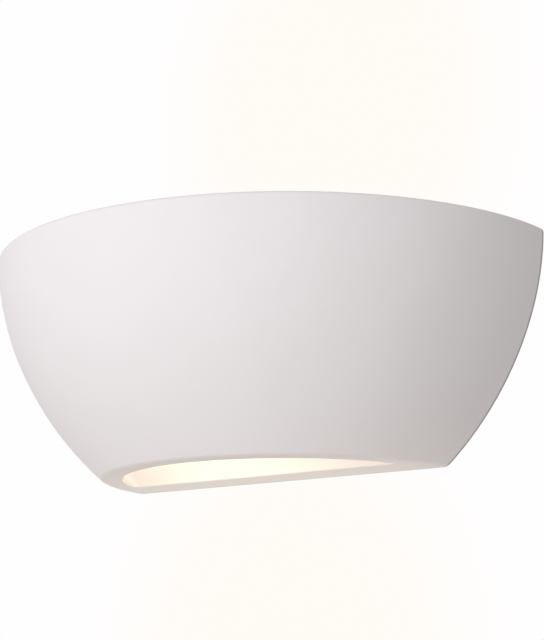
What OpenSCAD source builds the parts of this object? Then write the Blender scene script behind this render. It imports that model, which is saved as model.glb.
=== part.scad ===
// Half-bowl plaster wall uplighter: a cast shade on a steel wall strap, with its
// lampholder, screw-in lamp, terminal block and wiring.
//
// The wall is the plane y = 0 and the room lies towards -Y. +Z is up. The origin lies on
// the wall, midway between the two wall slots. The lamp's axis runs along X at z = 0.
// Lengths are in millimetres.

/* [Shade] */
// Radius of the bowl at its rim: half the width, and the whole projection
shade_radius = 150; // [135:1:180]
// Height of the shade from its bottom edge to its rim
shade_height = 112; // [100:1:125]
// Depth below the rim at which the bowl's curve would close
bowl_depth = 150; // [140:1:190]
// Roundness of the bowl's curve: 2 is an ellipse, less is slacker
bowl_exponent = 1.9; // [1.7:0.05:2.4]
// Thickness of the cast wall, square to its surface
shade_wall = 8; // [6:0.5:10]
// Radius on the outer bottom edge
bottom_edge_radius = 5; // [2:0.5:7]
// Radius on the edges of the rim
rim_edge_radius = 2; // [1:0.25:3]
// Depth of the pocket behind the rear wall, which holds the strap
pocket_depth = 14; // [12:0.5:18]
// Thickness of the rear wall
rear_wall = 10; // [7:0.5:13]
// Thickness of the ledges that close the pocket above and below
ledge_height = 12; // [8:0.5:16]
// Width of the rear wall between the window and the centre of a thumb screw
window_margin = 19; // [15:0.5:24]
// Height of the window in the rear wall
window_height = 58; // [52:1:66]
// Corner radius of the window
window_corner = 12; // [4:1:18]
// Height of the lamp's axis and of the wall slots above the bottom edge
axis_height = 58; // [54:1:62]

/* [Wall strap] */
// Thickness of the steel of the strap and of the lampholder bracket
steel = 1.5; // [1:0.1:2]
// Height of the strap
strap_height = 40; // [36:1:46]
// Distance of the outside of each web from its thumb screw, towards the centre
web_inset = 9; // [8:0.5:12]
// Length of each end flange, from the web to its tip
flange_length = 18; // [15:1:19]
// Inside radius of the strap's bends
bend_radius = 1.5; // [0.5:0.25:2.5]
// Corner radius of the flanges
flange_corner = 6; // [2:0.5:8]
// Distance of each wall slot's centre from the outside of its web
slot_inset = 19; // [16:0.5:22]
// Width of a wall slot
slot_width = 5; // [4:0.1:6]
// Length of a wall slot from end to end
slot_length = 12; // [9:0.5:14]
// Radius of the dish pressed around the cable entry
dish_radius = 12; // [11:0.25:13]
// How far the dish stands forward of the strap
dish_height = 2.5; // [2.5:0.25:3.5]

/* [Cable grommet] */
// Bore that the supply cable passes through
grommet_bore = 9; // [7:0.5:10]
// Diameter of the hole in the dish that holds the grommet
grommet_seat = 14; // [13:0.25:15]
// Diameter of the grommet's flanges
grommet_flange = 19; // [17.5:0.25:20]
// Thickness of each flange
grommet_lip = 2; // [1.5:0.25:2.25]

/* [Thumb screws] */
// Distance of each thumb screw that clamps the shade from the side of the rim
screw_inset = 47; // [45:0.5:49]
// Diameter of the screw
screw_diameter = 4; // [3:0.5:5]
// How far the screw's tip reaches past the nut
screw_tip = 0.5; // [0.1:0.1:1.5]
// Diameter of the knob
knob_diameter = 16; // [14:0.5:18]
// Length of the knob's grip
knob_grip = 9; // [6:0.5:12]
// Number of flutes around the knob
knob_flutes = 24; // [12:1:30]
// Diameter of the washer under the knob
washer_diameter = 13; // [11:0.5:15]
// Thickness of the washer
washer_thickness = 1; // [0.5:0.1:1.5]
// Width across the flats of the clinch nut
nut_width = 7; // [6.5:0.25:9]
// Length of the clinch nut behind the flange
nut_length = 4; // [3:0.25:5]

/* [Lampholder] */
// Distance from the wall to the lamp's axis
axis_reach = 56; // [52:1:62]
// Distance of the bracket's tab from the centre line
bracket_x = 56; // [54:1:60]
// Width of the bracket
bracket_width = 22; // [18:1:26]
// Length of the bracket's foot along the strap
foot_length = 25; // [23:1:28]
// Diameter of the bracket's rivets
rivet_diameter = 4; // [3:0.25:4.5]
// Outer diameter of the threaded nipple
nipple_diameter = 10; // [9:0.25:11]
// Bore of the nipple
nipple_bore = 7; // [6:0.25:7.5]
// Length of the nipple on each side of the bracket's inner face
nipple_half = 6.5; // [6:0.25:7]
// Width across the flats of the lock nut
lock_nut_width = 14; // [13:0.5:17]
// Thickness of the lock nut
lock_nut_height = 3; // [2:0.25:4]
// Outer diameter of the lampholder
holder_diameter = 28; // [26:0.5:31]
// Wall of the lampholder's plastic shells
holder_wall = 1.6; // [1:0.1:2]
// Length of the rear cap
holder_cap_length = 17; // [15:0.5:19]
// Length of the cap's shoulder, from the bracket to the full diameter
cap_shoulder = 12; // [10:0.5:13]
// Length of the skirt
holder_skirt_length = 30; // [28:0.5:33]
// Length of the ceramic insert
insert_length = 11; // [10:0.5:12]
// Diameter of the lamp's screw cap
cap_diameter = 13.8; // [13:0.1:14.5]
// Thickness of the brass screw shell
shell_wall = 0.4; // [0.3:0.05:0.6]

/* [Lamp] */
// Diameter of the lamp's globe
globe_diameter = 45; // [40:0.5:48]
// Length of the lamp from its contact to the end of the globe
lamp_length = 78; // [74:1:82]
// Length of the metal screw shell
cap_length = 17; // [15:0.5:18]
// Wall of the globe
globe_wall = 1.3; // [0.8:0.1:1.8]
// Wall of the lamp's housing
housing_wall = 1.6; // [1:0.1:2]
// Number of diodes around the disc
led_count = 10; // [6:1:12]

/* [Terminal block] */
// Distance of the terminal block's centre from the centre line
terminal_x = -33; // [-36:0.5:-31]
// Distance between neighbouring poles
pole_pitch = 10; // [9.5:0.25:10.5]
// Length of the block along the wires
block_length = 18; // [16:0.5:20]
// Height of the block from the strap to the wires' axis
wire_height = 5.5; // [5:0.25:6]
// Height of the screw towers above the strap
tower_height = 12; // [10.5:0.25:12.5]
// Distance of the earth screw to the side of the centre line
earth_x = 22; // [21:0.5:24]
// Distance of the earth screw above the centre line
earth_z = 12; // [11:0.5:13]
// Diameter of the earth screw
earth_screw = 4; // [3:0.5:4]

/* [Wiring] */
// Outer diameter of a wire
wire_diameter = 2.2; // [1.6:0.1:2.6]
// How far a lamp wire climbs away from the strap between two of its bends
wire_lift = 2; // [1.5:0.1:2.5]
// How far the lamp wires' loop stands out past the nipple
wire_loop = 7; // [6:0.25:9]
// Gap between neighbouring parts that fit together
fit_gap = 0.1; // [0.05:0.05:0.2]

/* [Hidden] */

$fn = 72;
bowl_steps = 30;        // segments in the bowl's curve
edge_steps = 6;         // segments in a rounded edge
past = 1;               // how far a cutter runs past a face

// Heights of the shade
shade_bottom = -axis_height;
shade_top = shade_bottom + shade_height;
rear_face = pocket_depth + rear_wall;       // front of the rear wall, from the wall

// Places along the wall, each worked out from the rim inwards
screw_x = shade_radius - screw_inset;
window_width = 2 * (screw_x - window_margin);
web_x = screw_x - web_inset;
flange_tip = web_x + flange_length;
slot_x = web_x - slot_inset;
outer_bend = bend_radius + steel;

// Thumb screws
screw_bore = screw_diameter + 1.5;          // loose hole in the plaster
knob_face = rear_face + washer_thickness;
thread_gap = 0.05;                          // radial gap between a screw and its thread
nut_back = pocket_depth - steel - nut_length;
nut_collar = nut_width / 2 - 0.6;           // radius of the hole in the flange

// Lampholder stations along the lamp's axis, from the bracket's inner face
cap_end = holder_cap_length;
insert_start = cap_end - 1;
insert_end = insert_start + insert_length;
skirt_end = cap_end + holder_skirt_length;
boss_diameter = nipple_diameter + 4;
holder_inside = holder_diameter / 2 - holder_wall;
terminal_stud = 4;                          // length of the wire terminals behind the insert
terminal_offset = 6.5;                      // distance of a terminal from the holder's axis
terminal_hole = 2;                          // radius of its hole in the insert

// Lamp stations, from the bracket's inner face
contact_rise = 1.6;                         // height of the sprung centre contact
lamp_start = insert_end + contact_rise + fit_gap;
button_height = 1.4;
insulator_height = 2.2;
cap_start = lamp_start + button_height + insulator_height;
housing_start = cap_start + cap_length;
lamp_end = lamp_start + lamp_length;
globe_radius = globe_diameter / 2;
globe_centre = lamp_end - globe_radius;
seam = globe_centre - globe_radius / 2;     // where the globe meets the housing
seam_radius = globe_radius * sqrt(3) / 2;
neck_radius = cap_diameter / 2 + 0.6;
spigot_radius = cap_diameter / 2 - shell_wall - fit_gap;
spigot_wall = 1;
board_thickness = 1.2;
board_start = seam - board_thickness;
board_radius = seam_radius - housing_wall - 2 * fit_gap;
diode_size = 2.8;

// Terminal block
slab_height = wire_height - 2.5;
pole_width = 6.5;
tower_radius = 3;
tower_offset = block_length / 2 - tower_radius - 1.2;
tube_radius = 2;
tube_bore = 1.5;
clamp_screw_radius = 1.3;
block_screw_radius = 1.5;
block_screw_head = 2.4;                     // radius of its head

// Earth connection
tag_thickness = 0.8;
tag_radius = earth_screw / 2 + 2.4;
tag_barrel = 5.5;                           // length of the crimp barrel
crimp_bore = wire_diameter / 2 + fit_gap;
crimp_wall = 0.5;

// ---------- the bowl's curve ----------

// Radius of the outside of the bowl at a depth below the rim
function bowl_radius(depth) =
    shade_radius * pow(1 - pow(depth / bowl_depth, bowl_exponent), 1 / bowl_exponent);

// How fast that radius shrinks with depth
function bowl_slope(depth) =
    let (q = pow(depth / bowl_depth, bowl_exponent))
    -shade_radius / bowl_depth * pow(depth / bowl_depth, bowl_exponent - 1)
    * pow(1 - q, 1 / bowl_exponent - 1);

// Point of the curve at a depth, moved inwards square to it: [radius, height]
function bowl_point(depth, inwards = 0) =
    let (s = bowl_slope(depth), k = sqrt(1 + s * s))
    [bowl_radius(depth) - inwards / k, shade_top - depth - inwards * s / k];

// Angle of the wall from the vertical at the bottom edge
bottom_lean = atan(-bowl_slope(shade_height));
// Length of wall that the bottom edge's radius takes up
bottom_trim = bottom_edge_radius * tan((90 - bottom_lean) / 2);
round_start = shade_height - bottom_trim * cos(bottom_lean);
edge_end = bowl_radius(shade_height) - bottom_trim;

// Outside of the bowl as a closed half section, filled to the axis
function outer_section() = concat(
    [[0, shade_bottom]],
    [for (i = [0:edge_steps])
        let (a = -90 + (90 - bottom_lean) * i / edge_steps)
        [edge_end, shade_bottom + bottom_edge_radius]
        + bottom_edge_radius * [cos(a), sin(a)]],
    [for (i = [1:bowl_steps])
        bowl_point(round_start * (1 - i / bowl_steps) + rim_edge_radius * i / bowl_steps)],
    [for (i = [1:edge_steps])
        let (a = 90 * i / edge_steps)
        [bowl_radius(rim_edge_radius) - rim_edge_radius, shade_top - rim_edge_radius]
        + rim_edge_radius * [cos(a), sin(a)]],
    [[0, shade_top]]
);

// Inside of the bowl, run past the bottom edge and past a rounded rim
function inner_section() =
    let (deepest = shade_height + shade_wall)
    concat(
        [[0, bowl_point(deepest, shade_wall)[1]]],
        [for (i = [0:bowl_steps]) bowl_point(deepest * (1 - i / bowl_steps), shade_wall)],
        [for (i = [0:edge_steps])
            let (a = 180 - 90 * i / edge_steps)
            [shade_radius - shade_wall + rim_edge_radius, shade_top - rim_edge_radius]
            + rim_edge_radius * [cos(a), sin(a)]],
        [[shade_radius - shade_wall + rim_edge_radius, shade_top + past], [0, shade_top + past]]
    );

// ---------- shared shapes ----------

// Turns a half section about the vertical axis, on the room's side of the wall
module half_turn(section)
    rotate([0, 0, 180]) rotate_extrude(angle = 180) polygon(section);

// Block that spans the shade's width between two distances from the wall
module slab_from_wall(near, far, bottom, top)
    translate([-shade_radius - past, -far, bottom])
        cube([2 * (shade_radius + past), far - near, top - bottom]);

// Rectangle with round corners, in the plane of the wall, from one distance to another
module wall_rectangle(width, height, corner, near, far)
    rotate([90, 0, 0]) translate([0, 0, near]) linear_extrude(far - near)
        rounded_rectangle(width, height, corner);

module rounded_rectangle(width, height, corner) {
    square([width - 2 * corner, height], center = true);
    square([width, height - 2 * corner], center = true);
    for (x = [-1, 1], z = [-1, 1])
        translate([x * (width / 2 - corner), z * (height / 2 - corner)]) circle(corner);
}

// Rod square to the wall, from one distance to another
module wall_rod(x, z, radius, near, far)
    translate([x, -near, z]) rotate([90, 0, 0]) cylinder(r = radius, h = far - near);

// Places children on the lamp's axis: their +Z points from the bracket towards the lamp
module on_lamp_axis()
    translate([bracket_x, -axis_reach, 0]) rotate([0, -90, 0]) children();

// Turned part on the lamp's axis
module turned(section)
    on_lamp_axis() rotate_extrude() polygon(section);

// Tube along +Z
module tube(outer, inner, length)
    difference() {
        cylinder(r = outer, h = length);
        translate([0, 0, -past]) cylinder(r = inner, h = length + 2 * past);
    }

// Six-sided bar along +Z, by its width across the flats
module hexagon_bar(width, length)
    cylinder(d = width / cos(30), h = length, $fn = 6);

// ---------- shade ----------

module plaster_shade() color("whitesmoke")
    difference() {
        half_turn(outer_section());
        intersection() {
            half_turn(inner_section());
            slab_from_wall(rear_face, shade_radius + past,
                           shade_bottom - past, shade_top + past);
        }
        intersection() {
            half_turn(inner_section());
            slab_from_wall(-past, pocket_depth,
                           shade_bottom + ledge_height, shade_top - ledge_height);
        }
        wall_rectangle(window_width, window_height, window_corner,
                       pocket_depth - past, rear_face + past);
        for (side = [-1, 1])
            wall_rod(side * screw_x, 0, screw_bore / 2, pocket_depth - past, rear_face + past);
    }

// ---------- thumb screws ----------

module thumb_screw(side) color("gainsboro") {
    difference() {
        wall_rod(side * screw_x, 0, knob_diameter / 2, knob_face, knob_face + knob_grip);
        for (i = [0:knob_flutes - 1])
            translate([side * screw_x, 0, 0]) rotate([0, 360 * i / knob_flutes, 0])
                wall_rod(knob_diameter / 2 + 0.25, 0, 0.75, knob_face + 1,
                         knob_face + knob_grip - 1);
    }
    wall_rod(side * screw_x, 0, screw_diameter / 2, nut_back - screw_tip, knob_face + past);
}

module thumb_screw_washers() color("peru")
    for (side = [-1, 1])
        difference() {
            wall_rod(side * screw_x, 0, washer_diameter / 2, rear_face, knob_face);
            wall_rod(side * screw_x, 0, screw_diameter / 2 + thread_gap, rear_face - past,
                     knob_face + past);
        }

// Each nut's collar is pressed into the flange, flush with its front
module clinch_nuts() color("silver")
    for (side = [-1, 1])
        difference() {
            union() {
                translate([side * screw_x, -nut_back, 0]) rotate([90, 0, 0])
                    hexagon_bar(nut_width, nut_length);
                wall_rod(side * screw_x, 0, nut_collar - thread_gap, nut_back, pocket_depth);
            }
            wall_rod(side * screw_x, 0, screw_diameter / 2 + thread_gap, nut_back - past,
                     pocket_depth + past);
        }

// ---------- wall strap ----------

// Quarter of a ring about a bend's centre, in the quadrant that the signs give
module bend_quarter(centre, sx, sy)
    translate(centre) intersection() {
        difference() {
            circle(outer_bend);
            circle(bend_radius);
        }
        translate([sx > 0 ? 0 : -outer_bend, sy > 0 ? 0 : -outer_bend]) square(outer_bend);
    }

// Right half of the strap's section, seen from above
module strap_section() {
    low = [web_x - outer_bend, -outer_bend];
    high = [web_x - steel + outer_bend, outer_bend - pocket_depth];
    translate([0, -steel]) square([low[0], steel]);
    bend_quarter(low, 1, 1);
    translate([web_x - steel, high[1]]) square([steel, low[1] - high[1]]);
    bend_quarter(high, -1, -1);
    translate([high[0], -pocket_depth]) square([flange_tip - high[0], steel]);
}

// Dish pressed forward around the cable entry
module cable_dish() {
    rim = dish_radius + dish_height;
    rotate([90, 0, 0]) rotate_extrude() polygon([
        [grommet_seat / 2 + fit_gap, dish_height], [dish_radius, dish_height],
        [rim, 0], [rim + past, 0], [rim + past, steel], [rim, steel],
        [dish_radius, dish_height + steel], [grommet_seat / 2 + fit_gap, dish_height + steel],
    ]);
}

module wall_slot(x)
    rotate([90, 0, 0]) translate([0, 0, -past]) linear_extrude(steel + 2 * past) {
        translate([x, 0]) square([slot_length - slot_width, slot_width], center = true);
        for (end = [-1, 1])
            translate([x + end * (slot_length - slot_width) / 2, 0]) circle(slot_width / 2);
    }

module wall_strap() color("silver")
    difference() {
        union() {
            difference() {
                intersection() {
                    linear_extrude(strap_height, center = true) {
                        strap_section();
                        mirror([1, 0]) strap_section();
                    }
                    wall_rectangle(2 * flange_tip, strap_height, flange_corner,
                                   -past, pocket_depth + past);
                }
                wall_rod(0, 0, dish_radius + dish_height, -past, steel + past);
            }
            cable_dish();
        }
        for (side = [-1, 1]) {
            wall_slot(side * slot_x);
            wall_rod(side * screw_x, 0, nut_collar, pocket_depth - steel - past,
                     pocket_depth + past);
        }
        for (x = rivet_places)
            wall_rod(x, 0, rivet_diameter / 2, -past, steel + past);
        wall_rod(earth_x, earth_z, earth_screw / 2, -past, steel + past);
        wall_rod(terminal_x - pole_pitch / 2, 0, block_screw_radius, -past, steel + past);
    }

module cable_grommet() color("dimgray") {
    back = dish_height - grommet_lip;
    front = dish_height + steel + grommet_lip;
    rotate([90, 0, 0]) rotate_extrude() polygon([
        [grommet_bore / 2, back], [grommet_flange / 2, back],
        [grommet_flange / 2, dish_height], [grommet_seat / 2, dish_height],
        [grommet_seat / 2, dish_height + steel], [grommet_flange / 2, dish_height + steel],
        [grommet_flange / 2 - 0.8, front], [grommet_bore / 2, front],
    ]);
}

// ---------- lampholder ----------

foot_start = bracket_x + steel - foot_length;
foot_end = bracket_x + steel - outer_bend;
rivet_places = [for (share = [0.2, 0.72]) foot_start + share * (foot_end - foot_start)];

module lampholder_bracket() color("silver") {
    centre = [foot_end, -steel - outer_bend];
    difference() {
        union() {
            linear_extrude(bracket_width, center = true) {
                translate([foot_start, -2 * steel]) square([foot_end - foot_start, steel]);
                bend_quarter(centre, 1, 1);
                translate([bracket_x, -axis_reach]) square([steel, axis_reach + centre[1]]);
            }
            on_lamp_axis() translate([0, 0, -steel]) cylinder(d = bracket_width, h = steel);
        }
        for (x = rivet_places)
            wall_rod(x, 0, rivet_diameter / 2, steel - past, 2 * steel + past);
        on_lamp_axis() translate([0, 0, -steel - past])
            cylinder(d = nipple_diameter + 2 * fit_gap, h = steel + 2 * past);
    }
}

module bracket_rivets() color("darkgray")
    for (x = rivet_places) {
        wall_rod(x, 0, rivet_diameter / 2 - fit_gap / 2, 0, 2 * steel);
        translate([x, -2 * steel, 0]) rotate([90, 0, 0])
            cylinder(d1 = 1.7 * rivet_diameter, d2 = rivet_diameter, h = 1.4);
    }

module lampholder_nipple() color("goldenrod")
    on_lamp_axis() translate([0, 0, -nipple_half])
        tube(nipple_diameter / 2, nipple_bore / 2, 2 * nipple_half);

module lampholder_lock_nut() color("goldenrod")
    on_lamp_axis() translate([0, 0, -steel - lock_nut_height]) difference() {
        hexagon_bar(lock_nut_width, lock_nut_height);
        translate([0, 0, -past])
            cylinder(d = nipple_diameter + fit_gap, h = lock_nut_height + 2 * past);
    }

module lampholder_cap() color("white") {
    seat = nipple_diameter / 2 + fit_gap;
    boss = boss_diameter / 2;
    outer = holder_diameter / 2;
    turned([
        [seat, 0], [boss, 0], [boss, cap_shoulder - 8.5], [outer - 3, cap_shoulder - 5],
        [outer - 0.8, cap_shoulder - 2.5], [outer, cap_shoulder], [outer, cap_end],
        [holder_inside, cap_end], [holder_inside, cap_shoulder],
        [holder_inside - 0.8, cap_shoulder - 2], [holder_inside - 3.6, cap_shoulder - 3.8],
        [seat, cap_shoulder - 4.8],
    ]);
}

module lampholder_insert() color("ivory") {
    outer = holder_inside - fit_gap;
    difference() {
        on_lamp_axis() difference() {
            translate([0, 0, insert_start]) cylinder(r = outer, h = insert_length);
            translate([0, 0, insert_start - past])
                cylinder(r = 1.6, h = insert_length + 2 * past);
        }
        for (side = [-1, 1])
            on_lamp_axis() translate([side * terminal_offset, 0, insert_start - past])
                cylinder(r = terminal_hole, h = 4 + past);
    }
}

// Two brass wire terminals that stand in the insert's rear face
module lampholder_terminals() color("goldenrod")
    for (side = [-1, 1])
        on_lamp_axis() translate([side * terminal_offset, 0, insert_start]) {
            translate([0, 0, -terminal_stud]) difference() {
                cylinder(r = terminal_hole + 0.6, h = terminal_stud);
                translate([0, 0, -past])
                    cylinder(r = wire_radius + 2 * fit_gap, h = terminal_stud + past - 0.6);
            }
            cylinder(r = terminal_hole - fit_gap, h = 3.5);
        }

module lampholder_screw_shell() color("goldenrod")
    on_lamp_axis() translate([0, 0, insert_end]) difference() {
        union() {
            tube(cap_diameter / 2 + 2 * fit_gap + shell_wall,
                 cap_diameter / 2 + 2 * fit_gap, skirt_end - insert_end - 3);
            tube(holder_inside - 2, cap_diameter / 2 + 2 * fit_gap, shell_wall);
        }
    }

// Sprung strip that presses on the lamp's contact
module lampholder_centre_contact() color("goldenrod")
    on_lamp_axis() translate([0, 0, insert_end]) rotate([90, 0, 0])
        linear_extrude(4, center = true) polygon([
            [-4, 0], [-4, 0.4], [-2.6, 0.4], [-1.4, contact_rise], [1.4, contact_rise],
            [2.6, 0.4], [2.6, 0], [2.2, 0], [1.2, contact_rise - 0.4],
            [-1.2, contact_rise - 0.4], [-2.4, 0],
        ]);

module lampholder_skirt() color("white") {
    outer = holder_diameter / 2;
    turned([
        [holder_inside, cap_end], [outer, cap_end], [outer + 0.8, cap_end + 1],
        [outer + 0.8, cap_end + 4], [outer, cap_end + 5], [outer - 0.6, skirt_end],
        [holder_inside, skirt_end],
    ]);
}

// ---------- lamp ----------

module lamp_contact() color("silver")
    turned([[0, lamp_start], [1.8, lamp_start], [2.4, lamp_start + 0.6],
            [2.4, lamp_start + button_height], [0, lamp_start + button_height]]);

module lamp_insulator() color("black") {
    start = lamp_start + button_height;
    turned([[0, start], [3, start], [cap_diameter / 2 - 1.2, cap_start], [0, cap_start]]);
}

module lamp_screw_shell() color("silver") {
    outer = cap_diameter / 2;
    inner = outer - shell_wall;
    turned([[outer - 1.2, cap_start], [outer, cap_start + 1.2], [outer, housing_start],
            [inner, housing_start], [inner, cap_start + 1.4],
            [outer - 1.2 - shell_wall, cap_start + shell_wall], [0, cap_start + shell_wall],
            [0, cap_start]]);
}

// Radius of the housing part of the way from the screw shell to the globe
function flare_radius(share) = neck_radius + (seam_radius - neck_radius) * sin(90 * share);

// The housing flares from the screw shell to the globe, with a spigot inside the shell
module lamp_housing() color("white") {
    flare = seam - housing_start;
    turned(concat(
        [[spigot_radius, housing_start - 8], [spigot_radius, housing_start]],
        [for (i = [0:edge_steps * 2])
            let (share = i / (edge_steps * 2))
            [flare_radius(share), housing_start + flare * share]],
        [for (i = [edge_steps * 2:-1:0])
            let (share = i / (edge_steps * 2))
            [max(flare_radius(share) - housing_wall, spigot_radius - spigot_wall),
             housing_start + flare * share]],
        [[spigot_radius - spigot_wall, housing_start - 8]]
    ));
}

// Circuit board that stands on the lamp's axis inside the housing, with its capacitor
driver_start = housing_start - 6;
driver_end = board_start - 4;
driver_reach = spigot_radius - spigot_wall - fit_gap;
driver_width = 2 * sqrt(pow(driver_reach, 2) - pow(board_thickness / 2, 2));
capacitor_radius = 3;

module lamp_driver_board() color("seagreen")
    on_lamp_axis() {
        translate([-board_thickness / 2, -driver_width / 2, driver_start])
            cube([board_thickness, driver_width, driver_end - driver_start]);
        translate([capacitor_radius + board_thickness / 4, 0, housing_start + 6])
            cylinder(r = capacitor_radius, h = 7);
    }

// Disc that carries the diodes, seated inside the housing's mouth
module lamp_led_board() color("gainsboro")
    on_lamp_axis() translate([0, 0, board_start]) difference() {
        cylinder(r = board_radius, h = board_thickness);
        translate([0, 0, -past]) cylinder(r = 2, h = board_thickness + 2 * past);
    }

module lamp_diodes() color("khaki")
    for (i = [0:led_count - 1])
        on_lamp_axis() rotate([0, 0, 360 * i / led_count])
            translate([0.65 * board_radius - diode_size / 2, -diode_size / 2,
                       board_start + board_thickness])
                cube([diode_size, diode_size, 0.7]);

module lamp_globe() color("white")
    on_lamp_axis() difference() {
        translate([0, 0, globe_centre]) sphere(globe_radius);
        translate([0, 0, globe_centre]) sphere(globe_radius - globe_wall);
        translate([0, 0, seam - globe_diameter])
            cylinder(r = globe_diameter, h = globe_diameter);
    }

// ---------- terminal block ----------

poles = [for (i = [-1:1]) terminal_x + i * pole_pitch];

module terminal_block() color("white")
    difference() {
        union() {
            translate([terminal_x - pole_pitch - pole_width / 2, -steel - slab_height,
                       -block_length / 2])
                cube([2 * pole_pitch + pole_width, slab_height, block_length]);
            for (x = poles) {
                translate([x - pole_width / 2, -steel - wire_height - 2.8, -block_length / 2])
                    cube([pole_width, wire_height + 2.8, block_length]);
                for (end = [-1, 1])
                    wall_rod(x, end * tower_offset, tower_radius, steel, steel + tower_height);
            }
        }
        for (x = poles) {
            translate([x, -steel - wire_height, -block_length / 2 - past])
                cylinder(r = tube_radius + fit_gap / 2, h = block_length + 2 * past);
            for (end = [-1, 1])
                wall_rod(x, end * tower_offset, clamp_screw_radius + 2 * fit_gap,
                         steel + wire_height, steel + tower_height + past);
        }
        wall_rod(terminal_x - pole_pitch / 2, 0, block_screw_radius + fit_gap, steel - past,
                 steel + tower_height + past);
        wall_rod(terminal_x - pole_pitch / 2, 0, block_screw_head + fit_gap,
                 steel + slab_height, steel + tower_height + past);
    }

module terminal_tubes() color("goldenrod")
    for (x = poles)
        difference() {
            translate([x, -steel - wire_height, -block_length / 2 + 1])
                tube(tube_radius, tube_bore, block_length - 2);
            for (end = [-1, 1])
                wall_rod(x, end * tower_offset, clamp_screw_radius + fit_gap,
                         steel + wire_height, steel + tower_height);
        }

module terminal_clamp_screws() color("silver")
    for (x = poles, end = [-1, 1])
        difference() {
            wall_rod(x, end * tower_offset, clamp_screw_radius, steel + wire_height + 1.2,
                     steel + tower_height - 1);
            translate([x - 2, -steel - tower_height, end * tower_offset - 0.3])
                cube([4, 1.8, 0.6]);
        }

module terminal_block_screw() color("silver") {
    x = terminal_x - pole_pitch / 2;
    head = steel + slab_height;
    difference() {
        union() {
            wall_rod(x, 0, block_screw_radius - fit_gap / 2, 0.1, head + 0.5);
            wall_rod(x, 0, block_screw_head, head, head + 1.8);
        }
        translate([x - 3, -head - 1.8 - past, -0.4]) cube([6, past + 0.8, 0.8]);
    }
}

// ---------- earth connection ----------

module earth_screw() color("gold") {
    washer_top = steel + 2 * tag_thickness;
    difference() {
        union() {
            wall_rod(earth_x, earth_z, earth_screw / 2 - fit_gap / 2, 0.1, washer_top + past);
            wall_rod(earth_x, earth_z, earth_screw, washer_top, washer_top + 2.6);
        }
        translate([earth_x - 5, -washer_top - 2.6 - past, earth_z - 0.5])
            cube([10, past + 1.2, 1]);
    }
}

module earth_washer() color("silver")
    difference() {
        wall_rod(earth_x, earth_z, tag_radius, steel + tag_thickness, steel + 2 * tag_thickness);
        wall_rod(earth_x, earth_z, earth_screw / 2 + fit_gap, steel, steel + 3 * tag_thickness);
    }

// Ring tag: a tongue joins its ring to the crimp barrel, which takes the wire's end
barrel_height = steel + crimp_bore + crimp_wall;
barrel_end = earth_x - tag_radius - 1;
barrel_start = barrel_end - tag_barrel;

module earth_tag() color("silver") {
    difference() {
        union() {
            wall_rod(earth_x, earth_z, tag_radius, steel, steel + tag_thickness);
            translate([barrel_end - 0.5, -steel - tag_thickness, earth_z - crimp_bore])
                cube([tag_radius, tag_thickness, 2 * crimp_bore]);
        }
        wall_rod(earth_x, earth_z, earth_screw / 2 + fit_gap, 0, steel + 2 * tag_thickness);
    }
    translate([barrel_start, -barrel_height, earth_z]) rotate([0, 90, 0])
        tube(crimp_bore + crimp_wall, crimp_bore, tag_barrel);
}

// ---------- wiring ----------

function unit(v) = v / norm(v);

// Point between b and c on the smooth curve through a, b, c and d
function between(a, b, c, d, t) = 0.5 * (
    2 * b + (c - a) * t + (2 * a - 5 * b + 4 * c - d) * t * t
    + (3 * b - a - 3 * c + d) * t * t * t
);

// Smooth curve through the given points
function smooth(points, steps) =
    let (last = len(points) - 1)
    concat(
        [for (i = [0:last - 1], s = [0:steps - 1])
            between(points[max(i - 1, 0)], points[i], points[i + 1],
                    points[min(i + 2, last)], s / steps)],
        [points[last]]
    );

// Round tube swept along a path, with a ring at each of its points
module swept_wire(path, radius, sides = 8) {
    last = len(path) - 1;
    tangents = [for (i = [0:last]) unit(path[min(i + 1, last)] - path[max(i - 1, 0)])];
    start = unit(cross(tangents[0], [0.31, 0.17, 0.93]));
    normals = [for (i = 0, n = start; i <= last;
                    i = i + 1,
                    n = unit(n - (n * tangents[min(i, last)]) * tangents[min(i, last)])) n];
    rings = [for (i = [0:last], s = [0:sides - 1])
        let (a = 360 * s / sides)
        path[i] + radius * (cos(a) * normals[i] + sin(a) * cross(tangents[i], normals[i]))];
    faces = concat(
        [[for (s = [0:sides - 1]) sides - 1 - s]],
        [for (i = [0:last - 1], s = [0:sides - 1])
            let (a = i * sides + s, b = i * sides + (s + 1) % sides)
            [a, b, b + sides]],
        [for (i = [0:last - 1], s = [0:sides - 1])
            let (a = i * sides + s, b = i * sides + (s + 1) % sides)
            [a, b + sides, a + sides]],
        [[for (s = [0:sides - 1]) last * sides + s]]
    );
    polyhedron(rings, faces);
}

wire_steps = 5;
wire_radius = wire_diameter / 2;
wire_y = -steel - wire_height;                  // wires' axis in the terminal block
block_top = block_length / 2;
nipple_end = bracket_x + nipple_half;
terminal_mouth = bracket_x - insert_start + terminal_stud;

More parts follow.
